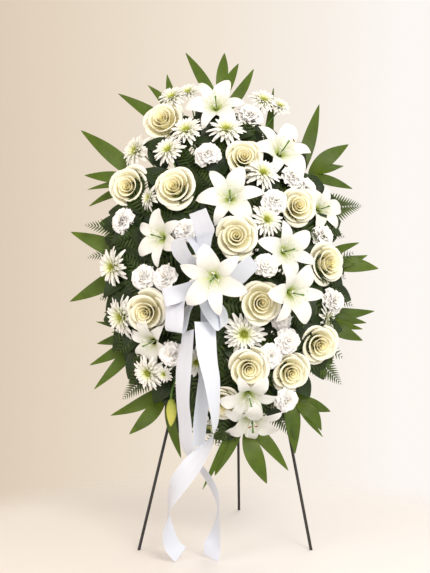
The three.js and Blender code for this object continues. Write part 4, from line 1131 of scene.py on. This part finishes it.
thicketFrond = mould("thicketFrondMould", frondMesh("thicketFrond", 13, 0.105, 0.030, 0.016, 0.16))
fillings = {
    "fern": {"mould": thicketFrond, "size": 1.0, "behind": 0.066, "reach": 0.70, "spacing": 0.035,
             "spread": 0.9, "lift": 0.22, "material": fernSkin},
    "leaf": {"mould": broadLeaf(), "size": 0.075, "behind": 0.085, "reach": 0.76, "spacing": 0.021,
             "spread": 1.0, "lift": 0.5, "material": broadSkin},
}
bands = [("Lower", 0.29, 0.52, 4), ("Middle", 0.52, 0.78, 9), ("Upper", 0.78, 1.0, 15)]  # heights and seed
for kind, filling in fillings.items():
    for name, low, high, seed in bands:
        patch = domePatch("domePatch" + name, low, high, filling["behind"], filling["reach"])
        growth = runTree(thicket, kind + "Thicket" + name, {
            "Frond": filling["mould"], "Spacing": filling["spacing"], "Density": 6000.0,
            "Spread": filling["spread"], "Lift": filling["lift"], "Size": filling["size"],
            "Middle": (0.0, 0.05, dome["height"]), "Seed": seed, "Material": filling["material"],
        }, patch)
        # Tone 0.5 takes in half of the darker heart ramp: painted shade on the fronds and leaves between the
        # blooms
        parts = [partFrom(growth, 0, 0.5)]
        addPiece(kind + "Filling" + name, parts, [filling["material"]])
print("ferns and fillings grown")


# Satin ribbon, 50 mm wide. It is cut to a length, and drawn together where it is tied
ribbon = {"width": 0.050, "thick": 0.0004, "columns": 13, "rows": 81, "floor": 0.0015, "crease": 0.0002,
          "pinch": 0.0035, "knotCrease": 0.003}


def addRibbon(name, grid, node, crease):
    side = grid[:, -1:] - grid[:, :1]
    normal = np.cross(side, np.gradient(grid, axis=0))
    normal /= np.linalg.norm(normal, axis=2, keepdims=True) + 1e-12
    w = np.linspace(-1, 1, grid.shape[1])
    grid = grid + normal * (np.broadcast_to(crease, len(grid))[:, None] * np.cos(2.5 * np.pi * w))[..., None]
    grid[..., 2] = np.maximum(grid[..., 2], ribbon["floor"])
    piece = addPiece(name, [shell(grid, ribbon["thick"])], [satinMaterial], [node])
    return piece


# The bow's loops. At each station: column and row of the ribbon's two edges in the photograph, its depth
# in front of the feet in millimetres, and how much of its width is left there. What the two edges lack of
# that width is the difference of their depths
knotStation = (200.5, 286, 203.5, 290, 112, 0.25)
bowLoops = {
    "bowLoopTop": (1, [
        (199, 262, 209, 258, 116, 0.6), (197, 244, 212, 239, 132, 0.9), (196, 234.5, 214.5, 229.5, 148, 1),
        (192.5, 223.5, 210.3, 219, 150, 1), (189, 214, 206, 208.8, 140, 1), (191, 219, 207, 214, 128, 1),
        (197, 245, 207, 242, 117, 0.8),
    ]),
    "bowLoopLeft": (-1, [
        (197, 261, 198.5, 267, 118, 0.5), (192, 255, 185, 266.5, 128, 0.9), (188, 248, 174.5, 257.5, 136, 1),
        (186, 242, 170.5, 247, 140, 1), (185.5, 239.5, 172.5, 240, 140, 1), (187, 240.5, 183, 236.5, 134, 1),
        (190.5, 245, 195, 236.8, 128, 1), (195, 253, 202, 244.5, 120, 0.9), (199, 265, 205, 257, 114, 0.6),
    ]),
    "bowLoopLowLeft": (1, [
        (193, 281, 189, 298, 124, 0.9), (182, 283.8, 180, 302.5, 134, 1), (170, 286.8, 171.5, 305, 138, 1),
        (161.5, 289, 166, 306.6, 132, 1), (165, 290.5, 169, 305, 124, 1), (181, 288, 183, 300, 115, 0.8),
    ]),
    "bowLoopDown": (1, [
        (177, 296, 189, 295, 122, 0.8), (166.5, 306, 184.8, 303.5, 134, 1), (165.2, 318, 183.8, 318, 139, 1),
        (165, 329.2, 182.8, 332.6, 136, 1), (170, 330, 187, 328.5, 127, 1), (179, 315, 191, 311, 119, 0.9),
        (190, 301, 198, 300, 114, 0.6),
    ]),
    "bowLoopLowRight": (-1, [
        (199, 302, 212, 299, 124, 0.8), (203, 312.5, 216.5, 308.5, 134, 1), (209.5, 322, 222, 316.5, 139, 1),
        (216, 330, 227.4, 323.6, 136, 1), (220, 328, 228.5, 320, 127, 1), (218.5, 314, 226, 309.5, 119, 0.9),
        (209, 300, 215, 297, 114, 0.6),
    ]),
    "bowLoopRight": (-1, [
        (219, 279, 228, 291, 120, 0.9), (229, 271.5, 242.5, 284, 132, 1), (239, 263, 251.5, 275.6, 138, 1),
        (248.5, 255.2, 259, 268, 133, 1), (246, 258.5, 256, 269, 124, 1), (230, 271, 238, 279, 115, 0.8),
    ]),
}
for name, (nearer, stations) in bowLoops.items():
    edges = []
    for leftColumn, leftRow, rightColumn, rightRow, depth, share in [knotStation, *stations, knotStation]:
        left, right = sight(leftColumn, leftRow, -depth / 1000), sight(rightColumn, rightRow, -depth / 1000)
        spare = (ribbon["width"] * share) ** 2 - ((right - left) ** 2).sum()
        turn = np.array([0, nearer * math.sqrt(max(0.0, spare)) / 2, 0])
        edges.append((left + turn, right - turn))
    leftEdge, rightEdge = (smoothPath([e[i] for e in edges], ribbon["rows"]) for i in (0, 1))
    w = np.linspace(0, 1, ribbon["columns"])[None, :, None]
    grid = leftEdge[:, None] * (1 - w) + rightEdge[:, None] * w
    nearEnd = np.minimum(np.linspace(0, 1, ribbon["rows"]), np.linspace(1, 0, ribbon["rows"]))
    crease = ribbon["pinch"] * np.clip(1 - nearEnd / 0.14, 0, 1) + ribbon["crease"]
    addRibbon(name, grid, "ribbon_bow", crease)


def alongPath(path, across, share):
    ahead = np.gradient(path, axis=0)
    ahead /= np.linalg.norm(ahead, axis=1, keepdims=True)
    across = np.broadcast_to(across, path.shape)
    side = across - ahead * (ahead * across).sum(axis=1, keepdims=True)
    side /= np.linalg.norm(side, axis=1, keepdims=True)
    half = ribbon["width"] / 2 * np.broadcast_to(share, len(path))
    return path[:, None] + (half[:, None] * np.linspace(-1, 1, ribbon["columns"]))[..., None] * side[:, None]


knot = {"sway": 0.008, "deep": 0.0135, "high": 0.0145, "share": 0.55}
turns = np.linspace(0, 2 * math.pi, ribbon["rows"])
wrap = sight(202, 288, -0.112) + np.stack([
    knot["sway"] * np.sin(2 * turns), knot["deep"] * np.sin(turns), knot["high"] * np.cos(turns),
], axis=1)
addRibbon("bowKnot", alongPath(wrap, (1, 0.2, 0), knot["share"]), "ribbon_bow",
          ribbon["knotCrease"])


# Hanging ribbons. At each station: column and row of the ribbon's middle, its depth in front of the feet
# in millimetres, and the degrees that its width is turned
def hangingRibbon(name, stations, node, share=1.0):
    points = np.array([sight(column, row, -depth / 1000) for column, row, depth, _ in stations])
    yaw = np.radians([s[3] for s in stations])
    across = smoothPath(np.stack([np.cos(yaw), np.sin(yaw), 0 * yaw], axis=1), ribbon["rows"])
    grid = alongPath(smoothPath(points, ribbon["rows"]), across, share)
    addRibbon(name, grid, node, ribbon["crease"])


hangingRibbon("bowStreamer", [
    (203, 290, 108, 35), (205, 312, 106, 50), (206.5, 340, 112, 55), (205, 370, 116, 60),
    (202.5, 400, 114, 54), (200, 425, 110, 54), (199, 446, 106, 60),
], "ribbon_bow", np.clip(0.25 + 2 * np.linspace(0, 1, ribbon["rows"]), 0, 1))
hangingRibbon("ribbonTailLeft", [
    (205, 322, 134, 25), (206.7, 350, 150, 31), (209, 365, 153, 39), (212, 380, 155, 46), (214, 400, 158, 59),
    (215, 415, 160, 68), (214.5, 428, 163, 78), (211, 440, 166, 100), (202, 453, 170, 130),
    (190, 468, 168, 145), (178, 484, 155, 135), (170, 500, 134, 108), (167.6, 515, 118, 90),
    (167.5, 528, 108, 68), (171.5, 544, 98, 52), (180.5, 555, 93, 43),
], "ribbon_tail_left")
hangingRibbon("ribbonTailRight", [
    (188, 331, 123, -60), (186.5, 348, 133, -56), (183.6, 370, 139, -47), (182.8, 400, 141, -54),
    (184.9, 422, 141, -54), (187, 445, 136, -54), (195, 461, 127, -58), (206, 475, 121, -62),
    (214, 490, 118, -68), (218, 507, 112, -83), (217.8, 521, 106, -79), (215.5, 536, 100, -62),
    (212.5, 547, 96, -43), (211, 558, 93, -50),
], "ribbon_tail_right")
print("ribbon tied")


# Easel of 7 mm wire: the front legs bend together at the top, and the rear leg folds on an eye
def legAt(side, height):
    run = easel["leftRun"] if side < 0 else easel["rightRun"]
    return np.array([side * (easel["footHalfSpan"] - run * height), easel["leanRun"] * height, height])


def standing(part, sides, ahead):  # cuts the first end level with the floor
    cut = [*range(sides), len(part["points"]) - 2]
    part["points"][cut] -= np.outer(part["points"][cut][:, 2] / ahead[2], ahead)
    return part


crown = (legAt(-1, easel["top"]) + legAt(1, easel["top"])) / 2 + easel["crownRise"] * upFrame
for name, side in (("left", -1), ("right", 1)):
    foot, top = legAt(side, 0), legAt(side, easel["top"])
    ahead = unit(top - foot)
    over = [crown + (side * easel[span], 0, 0) for span in ("crownHalf", "crownGap")]
    bend = bent([top - easel["bend"] * ahead, top + easel["bend"] * ahead, *over], np.linspace(0, 1, 13))
    path = np.vstack([[lerp(foot, bend[0], s) for s in (0, 0.33, 0.66)], bend])
    leg = tube(path, easel["wire"], easel["sides"])
    addPiece("easelLeg" + name.title(), [standing(leg, easel["sides"], ahead)], [wireMaterial],
             ["easel_leg_" + name])
for name, height in (("upper", easel["hingeHeight"]), ("lower", easel["lowerBar"] * math.cos(lean))):
    ends = [legAt(side, height) - (side * easel["wire"] * 1.1, 0, 0) for side in (-1, 1)]
    bar = tube([lerp(*ends, s) for s in (0, 0.5, 1)], easel["wire"], easel["sides"])
    addPiece("easelCrossbar" + name.title(), [bar], [wireMaterial], ["easel_crossbar_" + name])

hinge = np.array([easel["hingeX"], easel["leanRun"] * easel["hingeHeight"], easel["hingeHeight"]])
rearFoot = np.array(easel["rearFoot"])
downLeg = unit(rearFoot - hinge)
ring = {"radius": 0.006, "thick": 0.002, "half": 0.0035, "around": 28, "sides": 10}
eyeTurns = 2 * np.pi * np.arange(ring["around"]) / ring["around"]
sectionTurns = 2 * np.pi * np.arange(ring["sides"]) / ring["sides"]
ringReach = ring["radius"] + ring["thick"] * np.cos(sectionTurns)[None, :]
eyePoints = hinge + np.stack([
    np.broadcast_to(ring["half"] * np.sin(sectionTurns), (ring["around"], ring["sides"])),
    ringReach * np.cos(eyeTurns)[:, None], ringReach * np.sin(eyeTurns)[:, None],
], axis=2)
index = np.arange(ring["around"] * ring["sides"]).reshape(ring["around"], ring["sides"])
after, beside = np.roll(index, -1, axis=0), np.roll(index, -1, axis=1)
eye = {
    "points": eyePoints.reshape(-1, 3),
    "quads": np.stack([index, after, np.roll(after, -1, axis=1), beside], axis=2).reshape(-1, 4),
    "tris": np.zeros((0, 3), int), "uv": np.zeros((index.size, 2)), "tone": 0.5, "material": 0,
}
rearPath = [lerp(rearFoot, hinge + downLeg * 0.007, s) for s in (0, 0.33, 0.66, 1)]
rearLeg = standing(tube(rearPath, easel["wire"], easel["sides"]), easel["sides"], -downLeg)
addPiece("easelLegRear", [rearLeg, eye], [wireMaterial], ["easel_leg_rear"], "rear_leg")

for node, material in (("floral_foam", foamMaterial), ("spray_cage", trayMaterial)):
    held = bpy.data.objects[node]
    held.data.materials.clear()
    held.data.materials.append(material)
print("easel and holder finished")

for thing in moulds:
    bpy.data.objects.remove(thing)

# Floor, light and camera. The floor fades out into the world's colour, so there is no edge behind the spray
studio = {"floor": 1.0, "solid": 0.55, "fade": 0.92, "corners": 96}
floorAngles = np.linspace(0, 2 * math.pi, studio["corners"] + 1)[:-1]
floorRows = [(studio["floor"] * math.cos(a), studio["floor"] * math.sin(a), 0) for a in floorAngles]
floorMesh = bpy.data.meshes.new("floor")
floorMesh.from_pydata(floorRows, [], [list(range(studio["corners"]))])
floorMaterial, node, place = newMaterial("paleStudioFloor")
away = node("ShaderNodeVectorMath.LENGTH", place)
fade = node("ShaderNodeMapRange", away, studio["solid"], studio["fade"], 1.0, 0.0,
            settings={"interpolation_type": "SMOOTHSTEP"})
# Painted shade: the floor runs from a darker, warmer grey on the left to a lighter grey on the right, as if
# lit from the right
across = node("ShaderNodeMapRange", node("ShaderNodeSeparateXYZ", place), -0.5, 0.45)
floorPaintedShade = node("ShaderNodeMix.RGBA", across, linear("#e1dcd6"), linear("#e6e5e6"))
endMaterial(floorMaterial, Base_Color=floorPaintedShade, Alpha=fade, Roughness=0.8)
floor = addObject("floor", floorMesh, [floorMaterial])

world = bpy.data.worlds.new("studio")
scene.world = world
world.use_nodes = True
world.node_tree.nodes.clear()
node = partial(addNode, world.node_tree)
way = node("ShaderNodeTexCoord").outputs["Generated"]
across = node("ShaderNodeMapRange", node("ShaderNodeSeparateXYZ", way), -0.22, 0.16)
backdrop = setRamp(node("ShaderNodeValToRGB", across), [(0.0, "#dbc9b4"), (0.5, "#efe2d0"), (1.0, "#fdf8f3")])
node("ShaderNodeOutputWorld", node("ShaderNodeBackground", backdrop, 1.0))
scene.view_settings.view_transform = "Standard"


def addLight(name, place, size, power, colour):
    data = bpy.data.lights.new(name, "AREA")
    data.shape = "DISK"
    data.size = size
    data.energy = power
    data.color = linear(colour)[:3]
    lamp = bpy.data.objects.new(name, data)
    scene.collection.objects.link(lamp)
    lamp.location = place
    lamp.rotation_euler = (Vector(place) - Vector((0, 0, 0.6))).to_track_quat("Z", "Y").to_euler()


addLight("keyLight", (0.9, -2.5, 2.0), 1.2, 47, "#fff8ee")
addLight("fillLight", (-1.6, -2.0, 0.9), 1.6, 20, "#f6f6ff")
addLight("backLight", (0.6, 1.8, 2.0), 1.4, 16, "#fff8f0")

cameraData = bpy.data.cameras.new("camera")
camera = bpy.data.objects.new("camera", cameraData)
scene.collection.objects.link(camera)
camera.location = shift + (sightLines["x"], -sightLines["distance"], sightLines["height"])
camera.rotation_euler = (math.pi / 2, 0, 0)
cameraData.sensor_fit = "VERTICAL"
cameraData.sensor_width = cameraData.sensor_height = 36
cameraData.lens = 68.84  # the picture's 573 rows cover 2.3 mm each at the line of the front feet
scene.camera = camera
print("studio lit")
